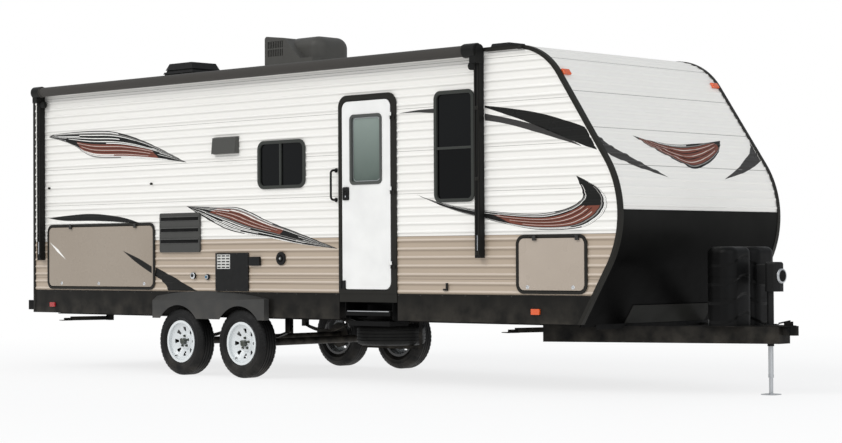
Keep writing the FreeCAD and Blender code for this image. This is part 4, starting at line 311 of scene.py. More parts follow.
def moulded(name):
    # Black moulded cover with body lines pressed into it
    made = Shader(name, "090909", 0.42, Specular_IOR_Level=0.12)
    made.vary(7.0, 0.35)
    made.wear(0.36, 0.5, 12.0)
    swell = made.times(made.wave("Y", 11.0), 0.05)
    line = made.math("FRACT", made.times(made.math("ADD", made.axis("Z"), swell), 6.0))
    made.relief(made.spread(line, 0.0, 0.16), 0.012, 0.7)
    made.grain(150.0, 0.0007, 0.2)
    return made


def rubber(name, code):
    made = Shader(name, code, 0.55, Specular_IOR_Level=0.2)
    made.vary(6.0, 0.35, "191817")
    made.wear(0.45, 0.65, 10.0)
    made.grain(300.0, 0.0004, 0.3)
    made.dust(0.3, 0.1)
    return made


def wheelPaint(name):
    # Pale disc with a dark hub cap; everything behind the disc face, the drum and the whole spare rim
    # included, is nearly black with painted shade and dirt
    made = Shader(name, "D9DDDE", 0.28, Coat_Weight=0.5, Coat_Roughness=0.1)
    made.vary(5.0, 0.12)
    made.wear(0.22, 0.38, 9.0)
    fromMiddle = made.math("ABSOLUTE", made.math("SUBTRACT", made.axis("X"), sum(axleX) / 2))
    along = made.math("SUBTRACT", fromMiddle, (axleX[1] - axleX[0]) / 2)
    up = made.math("SUBTRACT", made.axis("Z"), wheelRadius)
    squares = made.math("ADD", made.math("POWER", along, 2.0), made.math("POWER", up, 2.0))
    out = made.math("ABSOLUTE", made.axis("Y"))
    # Painted shade, with some dirt, on every part of a rim behind its disc face
    made.tint(made.math("LESS_THAN", out, wheelCentre + 0.008), "141312")
    cap = made.math("LESS_THAN", made.math("SQRT", squares), 0.0345)
    made.tint(made.times(cap, made.math("GREATER_THAN", out, wheelCentre + 0.032)), "3C4039")
    made.grain(90.0, 0.0004, 0.1)
    return made


def lampLens(name):
    # Rippled lenses, amber on the front half and red on the rear
    made = Shader(name, "D9561A", 0.2, Coat_Weight=0.5, Coat_Roughness=0.05)
    made.tint(made.math("LESS_THAN", made.axis("X"), 0.0), "A01420")
    made.relief(made.wave("Z", 900.0), 0.0006, 0.4)
    made.vary(40.0, 0.25)
    return made


def awningCloth(name):
    made = Shader(name, "34312D", 0.85, Sheen_Weight=0.08)
    made.vary(3.0, 0.3, stretch=(0.2, 1, 1))
    made.relief(made.times(made.wave("X", 4200.0), made.wave("Z", 4200.0)), 0.0004, 0.2)
    made.grain(9.0, 0.003, 0.25, (0.15, 1, 1))
    return made


def roofMembrane(name):
    made = Shader(name, "DADAD6", 0.7)
    made.vary(1.1, 0.35, "B2AFA8")
    made.wear(0.6, 0.85, 3.0)
    made.grain(26.0, 0.002, 0.25)
    return made


def woodPanel(name):
    made = Shader(name, "8C765C", 0.6)
    made.vary(3.0, 0.6, "6B563F", (0.2, 1, 4))
    made.wear(0.5, 0.7)
    made.grain(30.0, 0.001, 0.2, (0.2, 1, 5))
    return made


def steel(name, code, metallic, low, high):
    made = Shader(name, code, 0.35, Metallic=metallic)
    made.vary(9.0, 0.3)
    made.wear(low, high, 14.0)
    made.grain(120.0, 0.0004, 0.2)
    return made


def fittings(name):
    # Black plastic panels, with the hood vent and the refrigerator vent in grey
    made = Shader(name, "121212", 0.5, Specular_IOR_Level=0.2)
    made.vary(7.0, 0.3)
    made.wear(0.4, 0.6, 12.0)
    hoodX = made.between(made.axis("X"), bodyRear + 3.1, bodyRear + 3.6)
    made.tint(made.times(hoodX, made.between(made.axis("Z"), 2.25, 2.55)), "4A4A47")
    ventX = made.between(made.axis("X"), bodyRear + 2.2, bodyRear + 3.0)
    made.tint(made.times(ventX, made.math("GREATER_THAN", made.axis("Z"), 1.2)), "444442")
    made.grain(220.0, 0.0006, 0.25)
    return made


stage("materials")
finishes = {
    # Siding: paint, seam, painted crest highlight, painted foot shade, and how strongly the painted light
    # shows
    "siding_white": (paintedSiding, "EDEBE6", "8F8E8A", "F8F7F3", "C9C8C3", 0.6),
    "siding_beige": (paintedSiding, "AD9D8B", "5D5348", "D9CDC0", "857766", 0.7),
    # One beige paint for all leaves; the front leaves' paler tone is painted light
    "rear_leaf": (hatchPaint, "988D80"),
    "front_leaf": (hatchPaint, "AEA295"),
    "front_panel": (frontPaint,),
    "door_fittings": (doorMetal,),
    "step_steel": (metalPaint, "0B0B0B", 0.4, 0.6),
    "spare_rubber": (rubber, "1C1C1B"),
    "ac_shell": (plastic, "4A4946", 0.4, 0.55),
    "dark_panel": (metalPaint, "191816", 0.28, 0.42, 0.9),
    "dark_trim": (metalPaint, trimTone, 0.35, 0.5),
    "window_frame": (metalPaint, "3C3E3B", 0.35, 0.5),
    "black_plastic": (plastic, "121212", 0.4, 0.58),
    "fender_plastic": (plastic, "3B3B3A", 0.4, 0.55, 160.0, 0.9),
    "cover_plastic": (moulded,),
    "dark_glass": (glass, "090A0A", 0.05),
    "frosted_glass": (doorGlass,),
    "white_door": (metalPaint, "E9E9E7", 0.28, 0.4),
    "rail_paint": (metalPaint, "1C1C1B", 0.3, 0.45),
    "frame_steel": (metalPaint, "0C0C0C", 0.4, 0.6, 0.75),
    "zinc_steel": (steel, "B9BBBD", 0.85, 0.3, 0.5),
    "bright_metal": (steel, "D6D8DA", 1.0, 0.1, 0.22),
    "tyre_rubber": (rubber, "0E0E0E"),
    "wheel_paint": (wheelPaint,),
    "lamp_lens": (lampLens,),
    "awning_cloth": (awningCloth,),
    "roof_membrane": (roofMembrane,),
    "wall_panel": (woodPanel,),
    "under_board": (plastic, "161616", 0.6, 0.8, 80.0, 0.95),
    "wall_fittings": (fittings,),
    "nut_steel": (steel, "4C5049", 0.7, 0.3, 0.5),
    "vent_grey": (plastic, "50504E", 0.45, 0.6),
    "grille_pale": (metalPaint, "C9C9C5", 0.35, 0.5),
    # Black for the lamp lens and the apron, and painted shade for the vent and grille slots
    "slot_black": (plastic, "070707", 0.7, 0.85),
    "port_blue": (plastic, "3F6C86", 0.3, 0.45),
    "screw_dark": (metalPaint, "4A4A48", 0.3, 0.45),
    "vinyl_dark": (metalPaint, "1F1F1E", 0.25, 0.4),
    "vinyl_grey": (metalPaint, "8B8986", 0.25, 0.4),
    "vinyl_mid": (metalPaint, "3E3D3C", 0.25, 0.4),
    "vinyl_rust": (metalPaint, "78463A", 0.3, 0.45),
    "vinyl_pale": (metalPaint, "D9CFC6", 0.3, 0.45),
    "vinyl_white": (metalPaint, "F4F3EF", 0.25, 0.4),
}
materials = {name: make(name, *values).material for name, (make, *values) in finishes.items()}

# Which nodes of the CAD model each material dresses
dressing = {
    "siding_white": ["siding_upper"],
    "siding_beige": ["siding_lower"],
    "wall_panel": ["side_walls", "end_walls"],
    "roof_membrane": ["roof"],
    "under_board": ["floor_panel"],
    "front_panel": ["front_panel"],
    "dark_trim": ["edge_trim", "door_frame", "hatch_frames"],
    "dark_panel": ["skirts"],
    "fender_plastic": ["fender_skirts"],
    "window_frame": ["window_frames"],
    "dark_glass": ["window_glass"],
    "white_door": ["entry_door"],
    "door_fittings": ["door_fittings"],
    "frosted_glass": ["door_glass"],
    "rear_leaf": ["hatch_rear_right"],
    "front_leaf": ["hatch_front_right", "hatch_front_left"],
    "wall_fittings": ["wall_fittings"],
    "rail_paint": ["grab_rail", "awning_arms"],
    "frame_steel": ["main_rails", "cross_members", "stabiliser_mounts", "drawbar", "coupler", "rear_bumper",
                    "axles", "springs", "spare_carrier"] + ["stabiliser_" + corner for corner in corners],
    "black_plastic": ["tongue_jack", "roof_vents"],
    "zinc_steel": ["jack_leg"],
    "cover_plastic": ["gas_cover"],
    "step_steel": ["step_frame", "step_upper_arms", "step_upper_tread", "step_lower_arms",
                   "step_lower_tread"],
    "lamp_lens": ["marker_lamps"],
    "awning_cloth": ["awning_roller"],
    "ac_shell": ["air_conditioner"],
    "tyre_rubber": ["spare_tyre"] + ["tyre_" + corner for corner in corners],
    "wheel_paint": ["spare_rim"] + ["rim_" + corner for corner in corners],
}
for kind, nodes in dressing.items():
    for node in nodes:
        target = bpy.data.objects[node]
        target.data.materials.clear()
        target.data.materials.append(materials[kind])


# Mesh helpers
def bodyOf(node):
    return bpy.data.objects[node]["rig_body"]


def piece(name, mesh, kind, body="coach", smooth=None):
    made = bpy.data.objects.new(name, mesh)
    bpy.context.scene.collection.objects.link(made)
    mesh.materials.append(materials[kind])
    if smooth is not None:
        for face in mesh.polygons:
            face.use_smooth = True
        mesh.set_sharp_from_angle(angle=math.radians(smooth))
    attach(made, body)
    return made


def fromBmesh(work, name):
    mesh = bpy.data.meshes.new(name)
    work.to_mesh(mesh)
    work.free()
    return mesh


def finish(work, name, kind, body="coach", smooth=30):
    bmesh.ops.recalc_face_normals(work, faces=work.faces[:])
    piece(name, fromBmesh(work, name), kind, body, smooth=smooth)


def block(work, low, high, rounding=0.0, segments=2):
    # A box between two corners, with rounded edges
    made = bmesh.ops.create_cube(work, size=1.0)["verts"]
    low, high = Vector(low), Vector(high)
    bmesh.ops.scale(work, vec=high - low, verts=made)
    bmesh.ops.translate(work, vec=(low + high) / 2, verts=made)
    if rounding:
        edges = list({edge for vert in made for edge in vert.link_edges})
        bmesh.ops.bevel(work, geom=edges, offset=rounding, segments=segments, affect="EDGES",
                        profile=0.5, material=-1)


def button(work, seat, along, radius, depth, top=None, sides=20, rounding=0.0):
    # A turned knob, nut or rod that stands on its seat
    along = Vector(along).normalized()
    top = radius if top is None else top
    made = bmesh.ops.create_cone(work, cap_ends=True, segments=sides, radius1=radius, radius2=top,
                                 depth=depth)["verts"]
    upper = [vert for vert in made if vert.co.z > 0]
    turn = Vector((0, 0, 1)).rotation_difference(along).to_matrix()
    bmesh.ops.rotate(work, verts=made, matrix=turn)
    bmesh.ops.translate(work, verts=made, vec=Vector(seat) + along * (depth / 2))
    if rounding:
        rim = [edge for edge in {e for v in upper for e in v.link_edges}
               if edge.verts[0] in upper and edge.verts[1] in upper]
        bmesh.ops.bevel(work, geom=rim, offset=rounding, segments=2, affect="EDGES", profile=0.5, material=-1)


def roundedRing(work, span, heights, y, corner, depth, width):
    # A flat ring with round corners on the plane y
    made = bmesh.ops.create_grid(work, x_segments=1, y_segments=1, size=0.5)["verts"]
    bmesh.ops.scale(work, vec=(span[1] - span[0], heights[1] - heights[0], 1), verts=made)
    bmesh.ops.rotate(work, verts=made, matrix=Matrix.Rotation(math.radians(90), 3, "X"))
    bmesh.ops.translate(work, verts=made, vec=(sum(span) / 2, y, sum(heights) / 2))
    bmesh.ops.bevel(work, geom=made, offset=corner, segments=6, affect="VERTICES", profile=0.5, material=-1)
    middle = work.faces[:]
    ring = bmesh.ops.inset_individual(work, faces=middle, thickness=width, use_even_offset=True)["faces"]
    bmesh.ops.delete(work, geom=middle, context="FACES_ONLY")
    grown = bmesh.ops.extrude_face_region(work, geom=ring, use_keep_orig=True)["geom"]
    moved = [part for part in grown if isinstance(part, bmesh.types.BMVert)]
    bmesh.ops.translate(work, vec=(0, -depth, 0), verts=moved)


seatTrees = {}
outside = 1.6  # past every piece, where rays towards a side start
inFront = 5.5  # the same for rays towards the front
doorward = (0, -1, 0)  # outwards from the door side


def seatOn(node, start, direction):
    # Where a ray first meets a CAD node
    if node not in seatTrees:
        graph = bpy.context.evaluated_depsgraph_get()
        seatTrees[node] = BVHTree.FromObject(bpy.data.objects[node], graph)
    return seatTrees[node].ray_cast(Vector(start), Vector(direction))[0]


def sideSeat(node, x, z, side=-1):
    # The same from straight outside, on the door side unless side is 1
    return seatOn(node, (x, side * outside, z), (0, -side, 0))


def evenly(low, high, count):
    return [low + (high - low) * k / (count - 1) for k in range(count)]


# The outer skin of the front and of the sides, for the graphics
def frontPath(distance):
    # Point and normal on the front's skin, measured down from the top of the brow
    normal = Vector((math.sin(frontSlope), math.cos(frontSlope)))
    browZ = roofHeight - browRadius
    reach = (noseCentre[1] - browZ) * normal.y + noseRadius - browRadius
    brow, nose = Vector((noseCentre[0] + reach / normal.x, browZ)), Vector(noseCentre)
    start, end = brow + normal * browRadius, nose + normal * noseRadius
    arc = browRadius * frontSlope
    straight = (end - start).length
    if distance < arc:
        angle, centre, radius = distance / browRadius, brow, browRadius
    elif distance < arc + straight:
        return start + (end - start) * ((distance - arc) / straight), normal
    else:
        angle, centre, radius = frontSlope + (distance - arc - straight) / noseRadius, nose, noseRadius
    normal = Vector((math.sin(angle), math.cos(angle)))
    return centre + normal * radius, normal


def frontLengthAt(height):
    # Distance down the skin at which it reaches a height, by halving
    low, high = 0.0, 4.0
    for turn in range(40):
        middle = (low + high) / 2
        if frontPath(middle)[0].y > height:
            low = middle
        else:
            high = middle
    return low


frontLength = frontLengthAt(frontFoot)
frontPitch = frontLength / int(frontLength / ribPitch)


def ribDrop(fromCentre):
    # Depth of the sheet below its crests, from the distance to the nearest rib's centre
    slopeShare = (abs(fromCentre) - ribCrest / 2) / (ribFoot / 2 - ribCrest / 2)
    return ribDepth * min(max(slopeShare, 0.0), 1.0)


def rightSurface(x, z, lift):
    # A point on the door side's siding
    fromCentre = (z - colourLine) % ribPitch - ribPitch / 2
    return Vector((x, -(halfWidth - ribDrop(fromCentre) + lift), z))


def leftSurface(x, z, lift):
    point = rightSurface(x, z, lift)
    return Vector((point.x, -point.y, point.z))


def frontSurface(y, distance, lift):
    point, normal = frontPath(distance)
    inset = ribDrop(distance % frontPitch - frontPitch / 2) - lift
    return Vector((point.x - inset * normal.x, y, point.y - inset * normal.y))


# Each skin with the pitch of its ribs and the place of the first
rightSide = (rightSurface, ribPitch, colourLine)
leftSide = (leftSurface, ribPitch, colourLine)
frontSide = (frontSurface, frontPitch, 0.0)
baseLift = 0.0006  # of a sheet of vinyl over the skin or over the sheet below


def ribLines(low, high, pitch, origin):
    # Where a rib's slopes begin and end, between two limits
    lines = []
    for k in range(math.floor((low - origin) / pitch) - 1, math.ceil((high - origin) / pitch) + 1):
        centre = origin + (k + 0.5) * pitch
        lines += [centre + s for s in (-ribFoot / 2, -ribCrest / 2, ribCrest / 2, ribFoot / 2)]
    return [line for line in lines if low < line < high]


def decal(name, outlines, tone, skin, lift=baseLift):
    # Flat outlines cut along the ribs and laid on a ribbed skin
    surface, pitch, origin = skin
    work = bmesh.new()
    for outline in outlines:
        work.faces.new([work.verts.new((u, v, 0)) for u, v in outline])
    bmesh.ops.remove_doubles(work, verts=work.verts[:], dist=1e-5)
    bmesh.ops.triangulate(work, faces=work.faces[:])
    heights = [v for outline in outlines for u, v in outline]
    for line in ribLines(min(heights), max(heights), pitch, origin):
        parts = work.verts[:] + work.edges[:] + work.faces[:]
        bmesh.ops.bisect_plane(work, geom=parts, plane_co=(0, line, 0), plane_no=(0, 1, 0))
    for vert in work.verts:
        vert.co = surface(vert.co.x, vert.co.y, lift)
    bmesh.ops.recalc_face_normals(work, faces=work.faces[:])
    u, v = outlines[0][0]
    outward = surface(u, v, 1) - surface(u, v, 0)
    if sum((face.normal * face.calc_area() for face in work.faces), Vector()).dot(outward) < 0:
        bmesh.ops.reverse_faces(work, faces=work.faces[:])
    piece(name, fromBmesh(work, name), "vinyl_" + tone)


def smoothCurve(points, steps=8):
    # Points along a smooth curve through the given ones
    padded = [points[0]] + list(points) + [points[-1]]
    curve = []
    for a, b, c, d in zip(padded, padded[1:], padded[2:], padded[3:]):
        for k in range(steps):
            t = k / steps
            curve.append(tuple(
                0.5 * (2 * q + (r - p) * t + (2 * p - 5 * q + 4 * r - s) * t * t
                       + (3 * q - p - 3 * r + s) * t ** 3)
                for p, q, r, s in zip(a, b, c, d)
            ))
    curve.append(tuple(points[-1]))
    return curve


def band(upper, lower, low=0.0, high=1.0, start=0.0, end=1.0):
    # Quads between two smooth edges that share both tips, from shares of the width and of the length
    top = smoothCurve(upper)
    bottom = smoothCurve([upper[0]] + list(lower) + [upper[-1]])
    count = 48

    def at(curve, share):
        spot = share * (len(curve) - 1)
        k = min(int(spot), len(curve) - 2)
        return tuple(p + (q - p) * (spot - k) for p, q in zip(curve[k], curve[k + 1]))

    rows = []
    for k in range(count + 1):
        t = start + (end - start) * k / count
        a, b = at(top, t), at(bottom, t)
        rows.append([tuple(p + (q - p) * share for p, q in zip(a, b)) for share in (low, high)])
    return [[a[0], b[0], b[1], a[1]] for a, b in zip(rows, rows[1:])]


# Generic swooshes in grey, rust and white: places along x and z, and shares of width and length
stage("graphics")
bars = 3
lineWidth = 0.032
hairlines = [(0.04, (0.16, 0.62)), (0.15, (0.34, 0.93)), (0.21, (0.08, 0.34)), (0.87, (0.10, 0.52)),
             (0.92, (0.30, 0.84)), (0.96, (0.55, 0.95)), (0.32, (0.80, 0.97)), (0.50, (0.83, 0.98)),
             (0.68, (0.80, 0.95)), (0.35, (0.06, 0.24)), (0.62, (0.05, 0.20))]
leftLift = 0.17  # clears the window under the left side's rear feather
swooshes = {
    "feather_rear": {
        "upper": [(-4.384, 2.623), (-4.24, 2.650), (-3.65, 2.658), (-3.17, 2.626), (-2.62, 2.49),
                  (-1.96, 2.25)],
        "lower": [(-3.95, 2.52), (-3.55, 2.365), (-2.9, 2.33), (-2.35, 2.29)],
        "core": (0.5, 0.93), "span": (0.3, 0.78),
        "lines": hairlines + [(0.27, (0.18, 0.6)), (0.38, (0.25, 0.82)), (0.44, (0.5, 0.9))],
    },
    "feather_middle": {
        "upper": [(-1.963, 1.785), (-1.474, 1.765), (-1.096, 1.747), (-0.646, 1.598), (-0.201, 1.475),
                  (0.34, 1.319)],
        "lower": [(-1.79, 1.71), (-1.47, 1.584), (-1.19, 1.505), (-0.65, 1.435), (-0.2, 1.37)],
        "core": (0.12, 0.56), "span": (0.22, 0.7),
        "lines": hairlines + [(0.66, (0.2, 0.55)), (0.74, (0.35, 0.85)), (0.80, (0.15, 0.6))],
    },
    "crescent_front": {
        "upper": [(1.408, 1.826), (1.694, 1.749), (2.143, 1.674), (2.74, 1.62), (3.004, 1.621),
                  (3.272, 1.664), (3.44, 1.76), (3.363, 1.946)],
        "lower": [(1.796, 1.694), (2.142, 1.61), (2.738, 1.495), (3.097, 1.468), (3.45, 1.493),
                  (3.66, 1.60), (3.705, 1.72), (3.60, 1.84)],
        "core": (0.25, 0.8), "span": (0.32, 0.74), "lines": hairlines[:6],
    },
}
noseSwoosh = {  # places along y and down the front's skin
    "upper": [(-0.646, 1.29), (-0.40, 1.345), (-0.09, 1.368), (0.28, 1.345), (0.69, 1.29)],
    "lower": [(-0.55, 1.36), (-0.40, 1.45), (-0.13, 1.585), (0.036, 1.636), (0.308, 1.56), (0.55, 1.43)],
    "core": (0.14, 0.86), "span": (0.1, 0.9), "lines": hairlines[:1],
}
stripes = {
    "stripe_rear": ("dark", band(
        [(-4.40, 1.70), (-3.66, 1.735), (-3.08, 1.69), (-2.66, 1.60)],
        [(-4.1, 1.665), (-3.55, 1.655), (-3.1, 1.635)])),
    "stripe_rear_white": ("white", band(
        [(-4.12, 1.628), (-3.55, 1.645), (-3.1, 1.628), (-2.75, 1.60)],
        [(-3.55, 1.628), (-3.1, 1.612)])),
    "blade_upper": ("dark", [
        smoothCurve([(2.285, 2.622), (2.56, 2.585), (2.93, 2.523), (3.278, 2.431), (3.47, 2.37)])
        + smoothCurve([(3.60, 2.165), (3.42, 2.221), (3.105, 2.336), (2.746, 2.464), (2.285, 2.605)])]),
    "blade_lower": ("mid", [
        smoothCurve([(2.285, 2.549), (2.56, 2.494), (2.93, 2.406), (3.278, 2.274), (3.438, 2.2)])
        + smoothCurve([(3.276, 2.248), (2.93, 2.344), (2.56, 2.439), (2.285, 2.486)])]),
}
wing = (smoothCurve([(-1.172, 1.30), (-1.06, 1.42), (-0.90, 1.51), (-0.72, 1.61), (-0.43, 1.735)])
        + smoothCurve([(-0.76, 1.665), (-1.0, 1.585), (-1.172, 1.51)]))
slash = [(-2.47, 1.137), (-2.346, 1.095), (-2.147, 1.026), (-1.966, 0.952), (-1.787, 0.89), (-2.264, 0.89),
         (-2.297, 0.94), (-2.38, 1.003), (-2.498, 1.051)]
frontSeams = {"places": (0.405, 0.81, 1.215, 1.62), "reach": 1.17, "width": 0.005, "lift": 0.0004}


def swoosh(name, art, skin, rise=0.0):
    # A dark blade, then its core, pale and dark bars along the core, grey edges and thin light lines
    (low, high), (start, end) = art["core"], art["span"]
    width = (high - low) / bars
    layers = [
        ("dark", [(0.0, 1.0)]),
        ("rust", [(low, high, start, end)]),
        ("pale", [(low + width * (k + 0.45), low + width * (k + 0.57), start + 0.02 * k, end - 0.03 * k)
                  for k in range(bars)]),
        ("dark", [(low + width * (k + 0.9), low + width * (k + 1.04), start + 0.03 * k, end - 0.02 * k)
                  for k in range(bars - 1)]),
        ("grey", [(high + 0.03, high + 0.07, 0.12, 0.9), (0.08, 0.12, 0.1, 0.86)]),
        ("white", [(share, share + lineWidth, *reach) for share, reach in art["lines"]]),
    ]
    upper, lower = [[(u, v + rise) for u, v in art[edge]] for edge in ("upper", "lower")]
    for depth, (tone, parts) in enumerate(layers):
        quads = [quad for part in parts for quad in band(upper, lower, *part)]
        decal("%s_%d_%s" % (name, depth, tone), quads, tone, skin, baseLift * (depth + 1))


for side, skin, mirror in (("right", rightSide, 1), ("left", leftSide, -1)):
    for name, art in swooshes.items():
        swoosh(name + "_" + side, art, skin, leftLift if (name, side) == ("feather_rear", "left") else 0.0)
    for name, (tone, outlines) in stripes.items():
        decal(name + "_" + side, outlines, tone, skin)
    decal("wing_" + side, [[(mirror * y, distance) for y, distance in wing]], "mid", frontSide)
decal("slash_rear", [slash], "dark", rightSide)
needle = band([(1.18, 2.605), (1.42, 2.625), (1.66, 2.628)], [(1.42, 2.603), (1.66, 2.588)])
decal("needle_front", needle, "mid", rightSide)
swoosh("crescent_nose", noseSwoosh, frontSide)

# Panel seams that follow the front's curve
for number, low in enumerate(frontSeams["places"]):
    reach, high = frontSeams["reach"], low + frontSeams["width"]
    decal("front_seam_%d" % number, [[(-reach, low), (reach, low), (reach, high), (-reach, high)]], "grey",
          frontSide, frontSeams["lift"])

# Tyres with sidewall rings, grooves round the tread and shoulder lugs
stage("tyres")
tyre = {
    "bead": [(0.080, 0.2226), (0.0905, 0.2315), (0.0991, 0.245)],
    "rimGuard": [(0.1035, 0.2565), (0.1055, 0.2578), (0.1055, 0.2612), (0.1047, 0.2625)],
    "wall": [(0.106, 0.274), (0.1058, 0.285), (0.1050, 0.2965), (0.1058, 0.2980), (0.1058, 0.3000),
             (0.1042, 0.3015), (0.1012, 0.313), (0.0965, 0.325)],
    "shoulder": [(0.0925, 0.334), (0.084, 0.346), (0.076, 0.3505)],
    "edge": (0.064, wheelRadius - 0.001),
    "grooves": [0.050, 0.0175],
    "grooveWidth": 0.008,
    "grooveDepth": 0.009,
    "pitches": 46,
    "stepsPerPitch": 6,
    "lugDrop": 0.003,
    "lugNarrow": 0.985,
}


def tyreSection():
    half = tyre["bead"] + tyre["rimGuard"] + tyre["wall"] + tyre["shoulder"] + [tyre["edge"]]
    wide, foot = tyre["grooveWidth"] / 2, wheelRadius - tyre["grooveDepth"]
    for centre in tyre["grooves"]:
        half += [(centre + wide, wheelRadius), (centre + wide * 0.7, foot), (centre - wide * 0.7, foot),
                 (centre - wide, wheelRadius)]
    return half + [(-y, r) for y, r in reversed(half)]


def tyreMesh():
    work = bmesh.new()
    verts = [work.verts.new((0, y, r)) for y, r in tyreSection()]
    edges = [work.edges.new((a, b)) for a, b in zip(verts, verts[1:] + verts[:1])]
    perPitch = tyre["stepsPerPitch"]
    steps = tyre["pitches"] * perPitch
    bmesh.ops.spin(work, geom=verts + edges, cent=(0, 0, 0), axis=(0, 1, 0), angle=math.radians(360),
                   steps=steps, use_merge=True)
    bmesh.ops.remove_doubles(work, verts=work.verts[:], dist=1e-6)
    shoulderRows = [y for y, r in tyre["shoulder"]]
    for vert in work.verts:
        if not any(abs(abs(vert.co.y) - y) < 1e-5 for y in shoulderRows):
            continue
        turn = math.atan2(vert.co.z, vert.co.x) / math.radians(360) * steps
        offset = perPitch / 2 if vert.co.y > 0 else 0
        if round(turn + offset) % perPitch in (0, 1):
            radius = math.hypot(vert.co.x, vert.co.z)
            shrink = (radius - tyre["lugDrop"]) / radius
            vert.co = (vert.co.x * shrink, vert.co.y * tyre["lugNarrow"], vert.co.z * shrink)
    bmesh.ops.recalc_face_normals(work, faces=work.faces[:])
    return fromBmesh(work, "tyre")


tyreShape = tyreMesh()


def layTyre(name, place, kind, body, node):
    shape = tyreShape.copy()
    shape.transform(place)
    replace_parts(piece(name, shape, kind, body, 40), node)


for corner, (x, side) in corners.items():
    place = Matrix.Translation((x, side * wheelCentre, wheelRadius))
    layTyre("tyre_tread_" + corner, place, "tyre_rubber", "wheel_" + corner, "tyre_" + corner)
spareLow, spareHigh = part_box("spare_tyre")
flat = Matrix.Translation((spareLow + spareHigh) / 2) @ Matrix.Rotation(math.radians(90), 4, "X")
layTyre("spare_tread", flat, "spare_rubber", "coach", "spare_tyre")

# Nuts with washers, hub cap ring and valve of each road wheel
nut = {"count": 5, "circle": 0.0565, "radius": 0.0115, "height": 0.017, "washer": (0.0145, 0.004)}
hubRing = {"radius": 0.021, "top": 0.017, "height": 0.0035}
valve = {"circle": 0.185, "degrees": 235, "radius": 0.0045, "length": 0.024, "foot": (0.0072, 0.008)}


def onRim(corner, radius, degrees):
    # A place on a rim's outer face, from its middle
    x, side = corners[corner]
    turn = math.radians(degrees)
    return sideSeat("rim_" + corner, x + radius * math.cos(turn), wheelRadius + radius * math.sin(turn), side)


for corner, (x, side) in corners.items():
    outward = Vector((0, side, 0))
    work = bmesh.new()
    for k in range(nut["count"]):
        seat = onRim(corner, nut["circle"], 90 + 360 * k / nut["count"])
        button(work, seat, outward, *nut["washer"], nut["radius"])
        button(work, seat + outward * 0.0035, outward, nut["radius"], nut["height"], nut["radius"] * 0.93,
               6, 0.002)
    button(work, onRim(corner, 0, 0), outward, hubRing["radius"], hubRing["height"], hubRing["top"], 28)
    finish(work, "wheel_nuts_" + corner, "nut_steel", "wheel_" + corner)
    work = bmesh.new()
    seat = onRim(corner, valve["circle"], valve["degrees"])
    button(work, seat, outward, *valve["foot"], valve["radius"], 12)
    button(work, seat, outward, valve["radius"], valve["length"], sides=12, rounding=0.001)
    finish(work, "wheel_valve_" + corner, "black_plastic", "wheel_" + corner)

# Thumb latches of the hatches
stage("hatches")
hatches = {
    "hatch_rear_right": {"latches": [-4.13, -3.455, -2.66], "latchZ": 0.962},
    "hatch_front_right": {"latches": [2.80, 3.33], "latchZ": 0.957},
    "hatch_front_left": {"latches": [2.80, 3.33], "latchZ": 0.957},
}
latch = {"recess": (0.019, 0.003), "lever": (0.010, 0.030), "proud": 0.009}
for node, hatch in hatches.items():
    side = 1 if node.endswith("left") else -1
    low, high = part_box(node)
    face = sideSeat(node, (low.x + high.x) / 2, (low.z + high.z) / 2, side).y
    near, far = sorted((face, face + side * latch["proud"]))
    (radius, depth), (width, height) = latch["recess"], latch["lever"]
    z = hatch["latchZ"]
    work = bmesh.new()
    for x in hatch["latches"]:
        button(work, (x, face, z), (0, side, 0), radius, depth, radius * 0.92, 24, 0.001)
        block(work, (x - width / 2, near, z - height / 2), (x + width / 2, far, z + height / 2), 0.003)
    finish(work, node + "_latches", "bright_metal", node)

# Slashes on the rear hatch that carry on the stripes beside it
hatchFace = sideSeat("hatch_rear_right", -3.5, 1.2).y
hatchArt = {
    "hatch_slash_pale": ("vinyl_white", [(-4.352, 1.425), (-4.20, 1.345), (-4.048, 1.225), (-4.21, 1.315)]),
    "hatch_slash_dark": ("vinyl_dark", smoothCurve([(-3.024, 1.319), (-2.75, 1.235), (-2.53, 1.148)])
                         + [(-2.53, 1.075), (-2.66, 1.13), (-2.82, 1.205)]),
}
for name, (kind, outline) in hatchArt.items():
    work = bmesh.new()
    work.faces.new([work.verts.new((x, hatchFace - baseLift, z)) for x, z in outline])
    bmesh.ops.triangulate(work, faces=work.faces[:])
    finish(work, name, kind, "hatch_rear_right", smooth=None)

# Door: catch and its hook, window reveal and keyhole
stage("door")
catch = {"heights": (0.93, 1.01), "proud": 0.010, "screw": (0.005, 0.003), "screwInset": 0.016,
         "plates": {"door_catch": ("door_frame", (0.389, 0.411)),
                    "door_catch_hook": ("entry_door", (0.4195, 0.461))}}
z0, z1 = catch["heights"]
for name, (node, (x0, x1)) in catch["plates"].items():
    middle = (x0 + x1) / 2
    face = sideSeat(node, middle, (z0 + z1) / 2).y
    work = bmesh.new()
    block(work, (x0, face - catch["proud"], z0), (x1, face, z1), 0.003)
    for z in (z0 + catch["screwInset"], z1 - catch["screwInset"]):
        button(work, (middle, face - catch["proud"], z), doorward, *catch["screw"])
    finish(work, name, "black_plastic", bodyOf(node))

reveal = {"span": (0.5575, 0.9335), "heights": (1.972, 2.592), "corner": 0.05, "depth": 0.003, "width": 0.006}
face = sideSeat("door_glass", sum(reveal["span"]) / 2, sum(reveal["heights"]) / 2).y
work = bmesh.new()
roundedRing(work, reveal["span"], reveal["heights"], face, reveal["corner"], reveal["depth"], reveal["width"])
finish(work, "door_window_reveal", "zinc_steel", "entry_door")

keyhole = {"at": (0.4715, 1.83), "radius": 0.009, "depth": 0.002, "slot": (0.001, 0.0014, 0.005)}
seat = sideSeat("door_fittings", *keyhole["at"])
width, proud, height = keyhole["slot"]
deep = seat.y - keyhole["depth"] + 0.0002
work = bmesh.new()
button(work, seat, doorward, keyhole["radius"], keyhole["depth"], sides=24, rounding=0.0006)
block(work, (seat.x - width, deep - proud, seat.z - height), (seat.x + width, deep, seat.z + height))
finish(work, "door_key_cylinder", "bright_metal", "entry_door")
